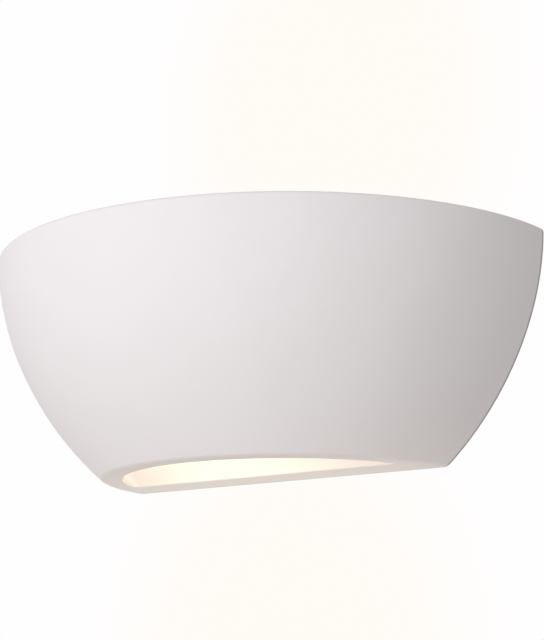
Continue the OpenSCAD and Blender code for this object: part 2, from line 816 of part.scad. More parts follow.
// Route from a pole up and along the strap, round through the nipple to a terminal.
// The live wire, side 1, stays above the neutral wire, side -1, all the way.
function lamp_wire(pole, side) =
    let (high = strap_height / 2 - 3 + side * 1.6,
         turn = nipple_end + wire_loop,
         rise = side * (wire_radius + 0.25))
    [
        [pole, wire_y, block_top - 4],
        [pole, wire_y, block_top + 0.5],
        [pole + 0.3 * pole_pitch, wire_y - wire_lift / 2, high - 1],
        [pole + pole_pitch, wire_y - wire_lift, high],
        [foot_start - 28.5, wire_y - 2 * wire_lift, high],
        [foot_start + 3.5, wire_y - 3 * wire_lift, high],
        [bracket_x - 2, wire_y - 4 * wire_lift, high - 1.5],
        [turn, wire_y - 8 * wire_lift, high / 2 + 1 + rise],
        [turn + 2, -axis_reach / 2 - wire_loop, 3 + 1.3 * rise],
        [turn, 9 - axis_reach, 1 + rise],
        [nipple_end + 3, 1.5 - axis_reach, rise],
        [nipple_end - 2, -axis_reach, rise],
        [bracket_x - nipple_half + 1, -axis_reach, rise],
        [terminal_mouth + 1.8, -axis_reach, side * (terminal_offset - 1.1)],
        [terminal_mouth, -axis_reach, side * terminal_offset],
        [terminal_mouth - 1, -axis_reach, side * terminal_offset],
        [terminal_mouth - 2.5, -axis_reach, side * terminal_offset],
    ];

function earth_route() =
    let (pole = poles[2])
    [
        [pole, wire_y, block_top - 4],
        [pole, wire_y, block_top + 0.5],
        [pole + 2.5, wire_y, earth_z - 0.5],
        [pole + 8, wire_y, earth_z + 0.3],
        [barrel_start - 8, -barrel_height - 2.6, earth_z + 0.2],
        [barrel_start - 1.5, -barrel_height - 0.1, earth_z],
        [barrel_start + 1, -barrel_height, earth_z],
        [barrel_end - 1, -barrel_height, earth_z],
    ];

module live_wire() color("saddlebrown")
    swept_wire(smooth(lamp_wire(poles[0], 1), wire_steps), wire_radius);

module neutral_wire() color("royalblue")
    swept_wire(smooth(lamp_wire(poles[1], -1), wire_steps), wire_radius);

module earth_wire() color("limegreen")
    swept_wire(smooth(earth_route(), wire_steps), wire_radius);

// ---------- nodes ----------

plaster_shade();
thumb_screw(-1);  // thumb_screw_left
thumb_screw(1);  // thumb_screw_right
thumb_screw_washers();
wall_strap();
clinch_nuts();
cable_grommet();
lampholder_bracket();
bracket_rivets();
lampholder_nipple();
lampholder_lock_nut();
lampholder_cap();
lampholder_insert();
lampholder_terminals();
lampholder_screw_shell();
lampholder_centre_contact();
lampholder_skirt();
terminal_block();
terminal_tubes();
terminal_clamp_screws();
terminal_block_screw();
earth_screw();
earth_washer();
earth_tag();
live_wire();
neutral_wire();
earth_wire();
lamp_contact();
lamp_insulator();
lamp_screw_shell();
lamp_housing();
lamp_driver_board();
lamp_led_board();
lamp_diodes();
lamp_globe();
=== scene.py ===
"""Half-bowl plaster wall uplighter: the looks of the light around its packed construction.

Everything is in metres in the construction's own frame: the wall is the plane y = 0, the
room lies towards -Y, and the lamp's axis runs along X at z = 0. Shapes are worked out in
millimetres and scaled once, where a mesh is made.
"""

import math

import bmesh
import bpy
import numpy as np
from bpy.props import FloatProperty, FloatVectorProperty, IntProperty, PointerProperty
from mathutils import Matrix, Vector


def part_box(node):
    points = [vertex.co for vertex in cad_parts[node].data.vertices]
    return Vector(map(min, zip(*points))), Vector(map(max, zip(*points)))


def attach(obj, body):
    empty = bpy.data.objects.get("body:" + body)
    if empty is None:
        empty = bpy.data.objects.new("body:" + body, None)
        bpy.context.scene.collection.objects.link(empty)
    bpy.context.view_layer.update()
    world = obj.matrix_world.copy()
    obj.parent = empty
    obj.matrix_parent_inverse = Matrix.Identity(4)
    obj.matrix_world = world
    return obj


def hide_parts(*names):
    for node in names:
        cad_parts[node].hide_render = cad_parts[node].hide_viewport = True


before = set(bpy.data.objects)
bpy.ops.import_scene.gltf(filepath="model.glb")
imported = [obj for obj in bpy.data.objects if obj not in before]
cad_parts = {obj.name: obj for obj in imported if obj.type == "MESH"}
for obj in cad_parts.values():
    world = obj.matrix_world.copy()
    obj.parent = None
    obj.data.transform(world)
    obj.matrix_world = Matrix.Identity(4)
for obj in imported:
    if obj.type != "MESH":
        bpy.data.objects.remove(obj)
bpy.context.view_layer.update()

bl_info = {
    "name": "Half-Bowl Plaster Uplighter",
    "version": (1, 0, 0),
    "blender": (4, 5, 0),
    "location": "View3D > Sidebar > Uplighter",
    "description": "Builds the visible pieces of a half-bowl plaster wall uplighter",
    "category": "Object",
}

MM = 0.001


def size_of(node):
    """The lowest and highest corners of a construction node, in millimetres."""
    low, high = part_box(node)
    return np.array(low) / MM, np.array(high) / MM


SHADE_LOW, SHADE_HIGH = size_of("plaster_shade")
GLOBE_LOW, GLOBE_HIGH = size_of("lamp_globe")
# The bracket's inner face on the lamp's axis: stations along the axis are counted from here.
LAMP_AXIS = (sum(size_of("lampholder_nipple")) / 2).tolist()
POLES = [float(sum(size_of("terminal_block"))[0]) / 2 + pitch for pitch in (-10, 0, 10)]

# Sizes of the construction that no node's box gives, in millimetres
POCKET_DEPTH, REAR_FACE = 14, 24        # back and front of the shade's rear wall
POCKET_LOW, POCKET_HIGH, POCKET_CORNER = -46.0, 42.0, 5
WINDOW = 168, 58, 12                    # its width, height and corner radius
SCREW_X, SCREW_HOLE = 103, 2.75         # where the thumb screws pass the rear wall, and its bore
KNOB_GRIP, SCREW_RADIUS = 9.0, 2.0
GROMMET_BORE, GROMMET_SEAT, GROMMET_LIP = 4.5, 7.0, 2
HOLDER_WALL, NIPPLE_SEAT, CAP_BOSS = 1.6, 5.1, 7.0
NIPPLE_BORE, NUT_FLAT = 3.5, 7.0
SHEET, SHELL_BORE = 0.4, 7.6            # sheet of both screw shells, bore of the lampholder's
SPIGOT, NECK, HOUSING_WALL, GLOBE_WALL = 6.4, 7.5, 1.6, 1.3
# Pitch and depth of each thread; the lampholder's is rolled a little deeper than the lamp's.
THREAD_PITCH, HOLDER_THREAD, LAMP_THREAD = 2.82, 0.45, 0.42
SCREW_PITCH, SCREW_THREAD = 0.7, 0.36
NIPPLE_PITCH, NIPPLE_THREAD = 1.0, 0.4
WIRE_RADIUS = 1.1
# How wide the painted shade at the plaster's wall edge is, where that painted shade is full, and
# how far from the neck the globe glows in full
WALL_SHADE_WIDTH, WALL_SHADE_FULL, NECK_GLOW = 2.3, 1.5, 12

# The stage, in metres: how far the wall stands behind the part, and where the floor is
WALL_GAP, FLOOR_LEVEL = 0.0008, -1.7
# The photo's camera: its place and aim in metres, its lens and sensor in millimetres
CAMERA_PLACE, CAMERA_AIM = (0.53658, -0.80366, -0.18522), (-0.0089, 0.0, 0.02817)
CAMERA_LENS, CAMERA_SENSOR = 106.25, 36.0


def lamp_stations(node):
    """Where a node starts and ends along the lamp's axis."""
    low, high = size_of(node)
    return LAMP_AXIS[0] - high[0], LAMP_AXIS[0] - low[0]


def radius_of(node):
    """The largest radius of a node that is turned about the lamp's axis."""
    low, high = size_of(node)
    return (high[2] - low[2]) / 2


# ---------------------------------------------------------------- colours and materials

BLEND = {"data_type": "RGBA"}         # settings of a Mix node that blends two colours


def linear(hex_colour):
    """Turns an sRGB hex colour such as "#f2efe9" into linear red, green, blue and alpha."""
    value = [int(hex_colour[i:i + 2], 16) / 255 for i in (1, 3, 5)]
    return [v / 12.92 if v <= 0.04045 else ((v + 0.055) / 1.055) ** 2.4 for v in value] + [1.0]


def set_input(tree, socket, value):
    """Links a socket or a node's first output in use to an input, or sets a plain value."""
    if isinstance(value, bpy.types.Node):
        value = next(output for output in value.outputs if output.enabled)
    if isinstance(value, bpy.types.NodeSocket):
        tree.links.new(value, socket)
    else:
        socket.default_value = value


def add_node(tree, kind, settings=None, *values, **inputs):
    """Adds a shader node. Settings are its own attributes. Values go to its inputs in use, in
    their order, and the rest to the input with their name, with spaces as underscores."""
    node = tree.nodes.new("ShaderNode" + kind)
    for name, value in (settings or {}).items():
        setattr(node, name, value)
    for socket, value in zip([socket for socket in node.inputs if socket.enabled], values):
        set_input(tree, socket, value)
    for name, value in inputs.items():
        set_input(tree, node.inputs[name.replace("_", " ")], value)
    return node


def start_material(name, **shader_inputs):
    """A new material with a Principled shader. Returns the material, its tree and the shader."""
    material = bpy.data.materials.new(name)
    material.use_nodes = True
    tree = material.node_tree
    tree.nodes.clear()
    shader = add_node(tree, "BsdfPrincipled", **shader_inputs)
    add_node(tree, "OutputMaterial", Surface=shader)
    return material, tree, shader


def in_millimetres(tree, stretch=(1, 1, 1)):
    """Object coordinates scaled to millimetres, and stretched if asked."""
    place = add_node(tree, "TexCoord").outputs["Object"]
    return add_node(tree, "Mapping", Vector=place, Scale=[s / MM for s in stretch])


def mottle(tree, grain_mm, detail=2.0, roughness=0.5, stretch=(1, 1, 1)):
    """Noise on the piece's own millimetres, whose lumps are about grain_mm across."""
    return add_node(tree, "TexNoise", Vector=in_millimetres(tree, stretch), Scale=1 / grain_mm,
                    Detail=detail, Roughness=roughness).outputs["Fac"]


def patterned(name, low, high, grain, gloss=None, relief=None, tone=None, stretch=(1, 1, 1),
              stripe=None, base_share=0.62, weave=None, **shader_inputs):
    """A material whose colour runs between two tones by a mottle, and whose roughness and relief
    may follow it. Grain is the mottle's size in millimetres, detail and roughness; gloss is the
    range of the roughness; relief is its height in millimetres and its strength. Tone is a
    broader mottle for the colour alone, stripe a second colour wound round a wire along its UV
    map, past the first one's share of each turn, and weave the scale of a diagonal weave that
    takes the mottle's place."""
    material, tree, shader = start_material(name, **shader_inputs)
    if weave:
        fine = add_node(tree, "TexWave", {"wave_type": "BANDS", "bands_direction": "DIAGONAL"},
                        in_millimetres(tree), weave, 1.5).outputs["Fac"]
    else:
        fine = mottle(tree, *grain, stretch=stretch)
    share = add_node(tree, "MapRange", None, mottle(tree, *tone) if tone else fine, 0.3, 0.7)
    colour = add_node(tree, "Mix", BLEND, share, linear(low), linear(high))
    if stripe:
        place = add_node(tree, "UVMap", {"uv_map": "along"})
        parts = add_node(tree, "SeparateXYZ", None, place).outputs
        wound = add_node(tree, "Math", {"operation": "ADD"}, parts[0], parts[1])
        turn = add_node(tree, "Math", {"operation": "FRACT"}, wound)
        band = add_node(tree, "Math", {"operation": "GREATER_THAN"}, turn, base_share)
        colour = add_node(tree, "Mix", BLEND, band, colour, linear(stripe))
    set_input(tree, shader.inputs["Base Color"], colour)
    if gloss:
        set_input(tree, shader.inputs["Roughness"], add_node(
            tree, "MapRange", Value=fine, To_Min=gloss[0], To_Max=gloss[1]))
    if relief:
        set_input(tree, shader.inputs["Normal"], add_node(
            tree, "Bump", Height=fine, Distance=relief[0] * MM, Strength=relief[1]))
    return material, tree, shader


def cast_plaster(colour):
    """Gypsum plaster, cast in a mould and sanded: dead matt, faintly uneven in tone, with a
    sanding grain of about a millimetre and slow waves left by the sanding block. The last
    two millimetres of the outside before the wall are darker: painted shade for the shadow
    where the plaster meets the wall."""
    material, tree, shader = start_material(
        "Cast gypsum plaster, sanded", Roughness=0.92, Specular_IOR_Level=0.25, IOR=1.52)
    # The third tone is painted shade, for the shadow where the plaster meets the wall.
    fresh, clouded, painted_wall_shade = ((*[c * f for c, f in zip(colour, factors)], 1) for factors in (
        (1, 1, 1), (0.965, 0.958, 0.95), (0.52, 0.5, 0.48)))
    cloud = add_node(tree, "MapRange", Value=mottle(tree, 34, 3, 0.55), To_Max=0.55)
    mottled_tone = add_node(tree, "Mix", BLEND, cloud, fresh, clouded)
    # Painted shade along the wall edge: close to the wall, where the face looks away from the
    # middle of the shade.
    place = in_millimetres(tree)
    depth = add_node(tree, "SeparateXYZ", None, place).outputs["Y"]
    near = add_node(tree, "MapRange", None, depth, -WALL_SHADE_WIDTH, -WALL_SHADE_FULL)
    aside = add_node(tree, "VectorMath", {"operation": "MULTIPLY"}, place, (1, 0, 1))
    facing = add_node(tree, "VectorMath", {"operation": "DOT_PRODUCT"}, aside,
                      add_node(tree, "TexCoord").outputs["Normal"])
    outer = add_node(tree, "Math", {"operation": "GREATER_THAN"}, facing, 20)
    painted_shade_mask = add_node(tree, "Math", {"operation": "MULTIPLY"}, near, outer)
    # Painted shade: the plaster turns to the dark tone along its wall edge.
    set_input(tree, shader.inputs["Base Color"],
              add_node(tree, "Mix", BLEND, painted_shade_mask, mottled_tone, painted_wall_shade))
    height = add_node(tree, "Math", {"operation": "MULTIPLY_ADD"},
                      mottle(tree, 17, 1, 0.4), 3.0, mottle(tree, 1.1, 4, 0.62))
    set_input(tree, shader.inputs["Normal"],
              add_node(tree, "Bump", Height=height, Distance=0.05 * MM, Strength=0.55))
    return material


def opal_polycarbonate(colour):
    """Polycarbonate, blown with a white diffuser: lit from within, so that it glows evenly and
    a little less towards the neck, where the diodes' board shades it."""
    material, tree, shader = patterned("Opal polycarbonate, lit", "#93908a", "#9a9791", (6, 2),
                                       Roughness=0.34, IOR=1.58, Emission_Strength=0.56)
    along = add_node(tree, "SeparateXYZ", None, in_millimetres(tree)).outputs["X"]
    neck = float(GLOBE_HIGH[0])
    share = add_node(tree, "MapRange", None, along, neck, neck - NECK_GLOW)
    set_input(tree, shader.inputs["Emission Color"], add_node(
        tree, "Mix", BLEND, share, (*[0.72 * c ** 0.55 for c in colour], 1),
        (*[c ** 0.4 for c in colour], 1)))
    return material


SLEEVE = dict(grain=(1.5, 2), gloss=(0.36, 0.48), IOR=1.53)
FINISHES = {
    # Mild steel sheet, pressed and zinc plated: a cool grey with a soft rolled grain.
    "zinc_steel": dict(
        name="Zinc plated steel, pressed", low="#b1b5b9", high="#bec1c4", grain=(0.6, 3),
        gloss=(0.3, 0.46), relief=(0.012, 0.6), tone=(9, 3), stretch=(0.15, 1, 1), Metallic=1.0),
    # Brass, turned and nickel plated: a warm white metal with fine turning marks.
    "nickel_steel": dict(
        name="Nickel plate on turned brass", low="#c9c5bc", high="#d2cec5", grain=(0.3, 1),
        gloss=(0.2, 0.3), relief=(0.002, 0.4), tone=(5, 1), Metallic=1.0),
    # Brass, turned or pressed and left bare: yellow, slightly dulled.
    "brass": dict(name="Brass, bare", low="#b8924a", high="#d0ab62", grain=(2.5, 3),
                  gloss=(0.26, 0.42), Metallic=1.0),
    # Aluminium, left as rolled: pale and soft in its shine.
    "rivet_aluminium": dict(name="Aluminium, mill finish", low="#b9bbbd", high="#cfd0d1",
                            grain=(0.8, 2), gloss=(0.34, 0.5), Metallic=1.0),
    # Copper with a dipped tin coat: grey-white, rounded and a little uneven.
    "tinned_copper": dict(
        name="Tinned copper, dipped", low="#b4b2ac", high="#c9c6bf", grain=(1.6, 3),
        gloss=(0.28, 0.44), relief=(0.03, 0.5), Metallic=1.0),
    # Vulcanised cotton fibre, punched from sheet: brick red-brown with short fibres.
    "fibre": dict(
        name="Vulcanised fibre, punched", low="#7a3f2a", high="#94533a", grain=(0.5, 4, 0.65),
        relief=(0.05, 0.6), stretch=(1, 1, 0.25), Roughness=0.78, IOR=1.5),
    # Natural rubber, moulded black: satin, with a fine bloom.
    "rubber": dict(name="Rubber, moulded", low="#191919", high="#262524", grain=(1.4, 3),
                   gloss=(0.55, 0.72), relief=(0.02, 0.5), IOR=1.52),
    # Steatite ceramic, pressed dry and fired without glaze: ivory, with a sandy skin.
    "insert_ceramic": dict(
        name="Steatite, unglazed", low="#ded9cb", high="#ebe7db", grain=(0.5, 4, 0.6),
        relief=(0.04, 0.5), Roughness=0.7, IOR=1.55),
    # Polyamide, moulded natural: milky white, so that light soaks into it.
    "clear_plastic": dict(
        name="Polyamide, natural, moulded", low="#dcdcd4", high="#e8e8e1", grain=(2, 2),
        gloss=(0.34, 0.46), IOR=1.53, Subsurface_Weight=0.35, Subsurface_Scale=0.002,
        Subsurface_Radius=(1.0, 0.9, 0.75)),
    # Fused black glass that parts the lamp's two contacts: deep and glossy.
    "black_plastic": dict(name="Black glass, fused", low="#0b0a0c", high="#17151a",
                          grain=(2, 2), gloss=(0.08, 0.2), IOR=1.55, Coat_Weight=0.4),
    # Glass-fibre laminate with a green solder mask: the weave shows through it.
    "board": dict(name="Glass-fibre laminate, masked", low="#1c5c33", high="#257042",
                  grain=None, weave=0.9, gloss=(0.3, 0.42), IOR=1.5),
    # Silicone resin filled with phosphor over each diode: lit lemon yellow.
    "diode": dict(name="Phosphor resin, cast", low="#e8c83a", high="#f4da5e", grain=(0.4, 2),
                  IOR=1.45, Roughness=0.3, Emission_Strength=1.5,
                  Emission_Color=linear("#ffe9b0")),
    # Glass-filled polyester, pressed: a white that shines softly where it was polished.
    "white_plastic": dict(
        name="Polyester, glass filled, pressed", low="#e7e6e1", high="#eae9e4", grain=(3.0, 2),
        gloss=(0.27, 0.33), relief=(0.006, 0.5), IOR=1.5, Specular_IOR_Level=0.45),
    # Polybutylene, moulded with a fine texture: a plain cool white.
    "lamp_plastic": dict(
        name="Polybutylene, moulded, fine texture", low="#eaeaea", high="#eeeeee",
        grain=(0.5, 2), gloss=(0.39, 0.45), relief=(0.006, 0.5), IOR=1.5,
        Specular_IOR_Level=0.45),
    # Vinyl, extruded over the conductor, smooth with a soft shine: brown, blue, and green
    # wound with yellow.
    "brown_sleeve": dict(name="Vinyl sleeve, brown", low="#5a3423", high="#6b402d", **SLEEVE),
    "blue_sleeve": dict(name="Vinyl sleeve, blue", low="#1d4f9b", high="#2a5fae", **SLEEVE),
    "green_sleeve": dict(name="Vinyl sleeve, green and yellow", low="#2c7a34", high="#368a3e",
                         stripe="#e3cf2c", **SLEEVE),
}
MADE = {}


def finish(slot):
    """The material of a slot, made once."""
    if slot not in MADE:
        MADE[slot] = patterned(**FINISHES[slot])[0]
    return MADE[slot]


# ---------------------------------------------------------------- shapes


def round_corners(points, radii, steps=6):
    """Rounds the corners of a closed line of points in a plane. Each corner with a radius is
    replaced by an arc that touches both its sides."""
    points = np.asarray(points, float)
    out = []
    for i, (corner, radius) in enumerate(zip(points, radii)):
        if radius <= 0:
            out.append(corner)
            continue
        a, b = ((end - corner) / np.linalg.norm(end - corner)
                for end in (points[i - 1], points[(i + 1) % len(points)]))
        half = math.acos(np.clip(a @ b, -1, 1)) / 2
        centre = corner + (a + b) / np.linalg.norm(a + b) * radius / math.sin(half)
        start, end = (corner + side * radius / math.tan(half) for side in (a, b))
        first = math.atan2(*(start - centre)[::-1])
        turn = (math.atan2(*(end - centre)[::-1]) - first + math.pi) % (2 * math.pi) - math.pi
        angles = first + turn * np.linspace(0, 1, steps + 1)
        out.extend(centre + radius * np.stack([np.cos(angles), np.sin(angles)], 1))
    return np.array(out)


def mesh_of(name, grids, uv=None):
    """A closed mesh from grids of points in millimetres, shape (rows, columns, 3). A grid's
    faces join neighbours in both directions, and round to the start where it is marked closed:
    each entry is (points, rows closed, columns closed). Doubled points are merged, which closes
    the poles, and the faces are turned outwards."""
    points, faces, base = [], [], 0
    for grid, rows_closed, columns_closed in grids:
        rows, columns = grid.shape[:2]
        i, j = np.meshgrid(np.arange(rows if rows_closed else rows - 1),
                           np.arange(columns if columns_closed else columns - 1), indexing="ij")
        down, right = (i + 1) % rows, (j + 1) % columns
        quads = np.stack([i * columns + j, i * columns + right,
                          down * columns + right, down * columns + j], -1)
        faces.append(quads.reshape(-1, 4) + base)
        points.append(grid.reshape(-1, 3))
        base += rows * columns
    mesh = bpy.data.meshes.new(name)
    mesh.from_pydata((np.concatenate(points) * MM).tolist(), [], np.concatenate(faces).tolist())
    if uv is not None:
        layer = mesh.uv_layers.new(name="along")
        corners = np.empty(len(mesh.loops), int)
        mesh.loops.foreach_get("vertex_index", corners)
        layer.data.foreach_set("uv", uv.reshape(-1, 2)[corners].ravel())
    edit = bmesh.new()
    edit.from_mesh(mesh)
    bmesh.ops.remove_doubles(edit, verts=edit.verts, dist=2e-6)
    bmesh.ops.dissolve_degenerate(edit, edges=edit.edges, dist=1e-7)
    bmesh.ops.recalc_face_normals(edit, faces=edit.faces)
    edit.to_mesh(mesh)
    edit.free()
    return mesh


def place_piece(mesh, replaces, slot, body="wall_assembly", material=None, sharp=35):
    """Puts a mesh on a body as a piece, smooth except where its faces meet at a sharp angle."""
    mesh.materials.clear()
    mesh.materials.append(material or finish(slot))
    mesh.shade_smooth()
    mesh.set_sharp_from_angle(angle=math.radians(sharp))
    piece = bpy.data.objects.new(mesh.name, mesh)
    bpy.context.scene.collection.objects.link(piece)
    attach(piece, body)
    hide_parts(*replaces)
    return piece


def softened(node, name, slot, radius_mm=0.2, segments=2, body="wall_assembly"):
    """A copy of a construction node with its doubles merged, its flat faces joined and its sharp
    edges rounded by a small radius, which catches the light as a real edge does."""
    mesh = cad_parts[node].data.copy()
    edit = bmesh.new()
    edit.from_mesh(mesh)
    bmesh.ops.remove_doubles(edit, verts=edit.verts, dist=1e-6)
    bmesh.ops.dissolve_limit(edit, angle_limit=math.radians(0.8), verts=edit.verts,
                             edges=edit.edges)
    edit.to_mesh(mesh)
    edit.free()
    for layer in list(mesh.uv_layers):
        mesh.uv_layers.remove(layer)
    mesh.name = name
    bevel = place_piece(mesh, [node], slot, body).modifiers.new("Rounded edges", "BEVEL")
    bevel.width, bevel.segments = radius_mm * MM, segments
    bevel.limit_method, bevel.angle_limit = "ANGLE", math.radians(40)


def around(count):
    """Angles evenly round a full turn, which stop one short of the first."""
    return 2 * math.pi * np.arange(count) / count


def straight(radius, stations):
    """A stretch of a profile that keeps one radius past each of its stations."""
    return np.stack([0 * stations + radius, stations], 1)


def turned(profile, axis_point, along, segments=72, ring=False, ripple=None):
    """A profile of (radius, station) carried once round an axis. It starts and ends on the axis,
    or is a closed ring clear of it. Ripple is a function of (radius, station, angle) that gives
    the radius at each place. The axis starts at axis_point and points along -X, as the lamp's
    does, or along -Y, square to the wall."""
    profile = np.asarray(profile, float)
    radius, station = profile[:, :1], profile[:, 1:]
    angle = around(segments)[None, :]
    radius = ripple(radius, station, angle) if ripple else radius + 0 * angle
    across, up, out = radius * np.cos(angle), radius * np.sin(angle), station + 0 * angle
    x, y, z = axis_point
    axes = [x - out, y + across, z + up] if along == "-X" else [x + across, y - out, z + up]
    return np.stack(axes, -1), ring, True


def turned_on_lamp_axis(name, node, slot, profile, segments=96, body="wall_assembly",
                        material=None, **settings):
    """A piece that is one profile turned about the lamp's axis."""
    place_piece(mesh_of(name, [turned(profile, LAMP_AXIS, "-X", segments, **settings)]), [node],
                slot, body, material)


def thread(crest, depth, pitch, start, end):
    """A ripple that cuts a thread: the radius falls from the crest by a triangle wave of the
    station less the angle's share of a turn, and the thread fades in and out at its ends."""
    def ripple(radius, station, angle):
        wave = np.abs(2 * ((station / pitch - angle / (2 * math.pi)) % 1) - 1)
        fade = np.clip((station - start) / pitch, 0, 1) * np.clip((end - station) / pitch, 0, 1)
        return np.where(np.abs(radius - crest) < 1e-6, radius - depth * wave * fade, radius)
    return ripple


def rolled(depth, pitch, start, end, low, high=math.inf):
    """A ripple for a rolled thread in sheet: a cosine wave of the station and the angle's share
    of a turn moves both faces of the sheet together, where the radius is between low and high."""
    def ripple(radius, station, angle):
        wave = 0.5 - 0.5 * np.cos(2 * math.pi * (station / pitch + angle / (2 * math.pi)))
        fade = np.clip((station - start) / 1.5, 0, 1) * np.clip((end - station) / 1.5, 0, 1)
        return radius - depth * wave * fade * (radius > low) * (radius < high)
    return ripple


def smooth_path(points, steps):
    """A smooth curve through points: each stretch is a cubic whose slope at a point is half the
    way from the point before to the point after."""
    p = np.asarray(points, float)
    a, b, c, d = (v[:, None, :] for v in (np.vstack([p[:1], p[:-2]]), p[:-1], p[1:],
                                          np.vstack([p[2:], p[-1:]])))
    t = (np.arange(steps) / steps)[None, :, None]
    curve = 0.5 * (2 * b + (c - a) * t + (2 * a - 5 * b + 4 * c - d) * t ** 2
                   + (3 * b - a - 3 * c + d) * t ** 3)
    return np.vstack([curve.reshape(-1, 3), p[-1:]])


def tube(path, radius, sides=16):
    """A round tube about a path with domed ends. Each ring is a circle square to the path, and
    the last rings shrink like a dome. Returns the grid and its UV, in turns: one for each five
    radii along the path, and one around it."""
    slope = np.gradient(path, axis=0)
    slope /= np.linalg.norm(slope, axis=1, keepdims=True)
    dome = np.linspace(0, math.pi / 2, 5)[:-1]
    ends = np.concatenate([np.cos(dome[::-1]), np.cos(dome)])
    reach = np.concatenate([-np.sin(dome[::-1]), np.sin(dome)]) * radius * 0.4
    centres = np.vstack([path[0] + slope[0] * reach[:4, None], path[1:-1],
                         path[-1] + slope[-1] * reach[4:, None]])
    slopes = np.vstack([np.repeat(slope[:1], 4, 0), slope[1:-1], np.repeat(slope[-1:], 4, 0)])
    radii = radius * np.concatenate([ends[:4], np.ones(len(path) - 2), ends[4:]])
    side = np.cross(slopes, [0.31, 0.17, 0.93])      # a direction that no stretch runs along
    side /= np.linalg.norm(side, axis=1, keepdims=True)
    other = np.cross(slopes, side)
    angle = around(sides)[None, :, None]
    grid = (centres[:, None] + radii[:, None, None]
            * (np.cos(angle) * side[:, None] + np.sin(angle) * other[:, None]))
    tips = [np.repeat(c[None, None], sides, 1) for c in
            (path[0] - slope[0] * radius * 0.4, path[-1] + slope[-1] * radius * 0.4)]
    grid = np.concatenate([tips[0], grid, tips[1]])
    run = np.concatenate([[0], np.cumsum(np.linalg.norm(np.diff(
        grid.mean(1), axis=0), axis=1))])
    uv = np.stack(np.meshgrid(run / (5 * radius), around(sides) / (2 * math.pi),
                              indexing="ij"), -1)
    return (grid, False, True), uv


# ---------------------------------------------------------------- settings


def length(name, description, metres):
    """A length that a user can change."""
    return FloatProperty(name=name, description=description, unit="LENGTH", default=metres)


def chosen_colour(name, description, hex_colour):
    """A colour that a user can change."""
    return FloatVectorProperty(name=name, description=description, subtype="COLOR", size=3,
                               min=0, max=1, default=linear(hex_colour)[:3])


class UplighterSizes(bpy.types.PropertyGroup):
    """Sizes that change the look of the light."""

    bowl_radius: length("Bowl radius", "Radius of the bowl at its rim", 0.14996)
    bowl_depth: length("Bowl depth", "Depth below the rim at which the curve would close", 0.15)
    bowl_exponent: FloatProperty(
        name="Bowl roundness", description="2 is an ellipse and less is slacker", default=1.87)
    hollow_exponent: FloatProperty(
        name="Hollow roundness", description="The same for the mould's core", default=1.9)
    shade_wall: length("Shade wall", "Thickness of the cast wall, square to its surface", 0.008)
    bottom_edge: length("Bottom edge radius", "Radius on the outer bottom edge", 0.005)
    rim_edge: length("Rim edge radius", "Radius on the edges of the rim", 0.002)
    unevenness: length(
        "Unevenness", "How far the sanded surface strays from the true bowl", 0.00018)
    knob_flutes: IntProperty(
        name="Knob flutes", description="Number of flutes round a thumb screw's knob",
        default=24, min=8, max=40)
    lamp_watts: FloatProperty(
        name="Lamp power", description="Power of the lamp's light", unit="POWER", default=0.037)


class UplighterColours(bpy.types.PropertyGroup):
    """Colours that a user would change."""

    plaster: chosen_colour("Plaster", "Colour of the plaster", "#f0edef")
    lamplight: chosen_colour("Lamplight", "Colour of the lamp's light", "#ffefce")


# ---------------------------------------------------------------- the shade


def bowl_curve(depth, sizes, power):
    """A bowl's profile. Its radius at a depth d below the rim is R (1 - (d / D)^p)^(1/p).
    Returns the radius and how fast it shrinks with depth."""
    full, reach = sizes.bowl_radius / MM, depth / (sizes.bowl_depth / MM)
    left = 1 - reach ** power
    slope = -full / (sizes.bowl_depth / MM) * reach ** (power - 1) * left ** (1 / power - 1)
    return full * left ** (1 / power), slope


def half_disc(radius, back, corner, arc_steps=260, corner_steps=7, back_steps=56):
    """A half disc seen from above: an arc of the radius about the origin, closed by a straight
    line at y = -back, with both corners rounded. Each argument is a column of values, one per
    row of the surface, and the result has shape (rows, columns, 2)."""
    def arc(x, y, radius, start, end, steps):
        """Points at a radius about (x, y), from one angle to another."""
        angle = start + (end - start) * np.linspace(0, 1, steps + 1)[None, :]
        return np.stack([x + radius * np.cos(angle), y + radius * np.sin(angle)], -1)

    radius, back, corner = (np.asarray(v, float)[:, None] for v in (radius, back, corner))
    y = -(back + corner)
    x = np.sqrt(np.maximum((radius - corner) ** 2 - y ** 2, 0))
    first, last = np.arctan2(y, -x), np.arctan2(y, x)    # directions of the corners' centres
    first = np.where(first > 0, first - 2 * math.pi, first)
    t = np.linspace(0, 1, back_steps + 1)[None, 1:]
    return np.concatenate([
        arc(0, 0, radius, first, last, arc_steps),
        arc(x, y, corner, last, math.pi / 2, corner_steps)[:, 1:],
        np.stack([x * (1 - 2 * t), -back + 0 * t], -1),
        arc(-x, y, corner, math.pi / 2, first + 2 * math.pi, corner_steps)[:, 1:-1]], 1)


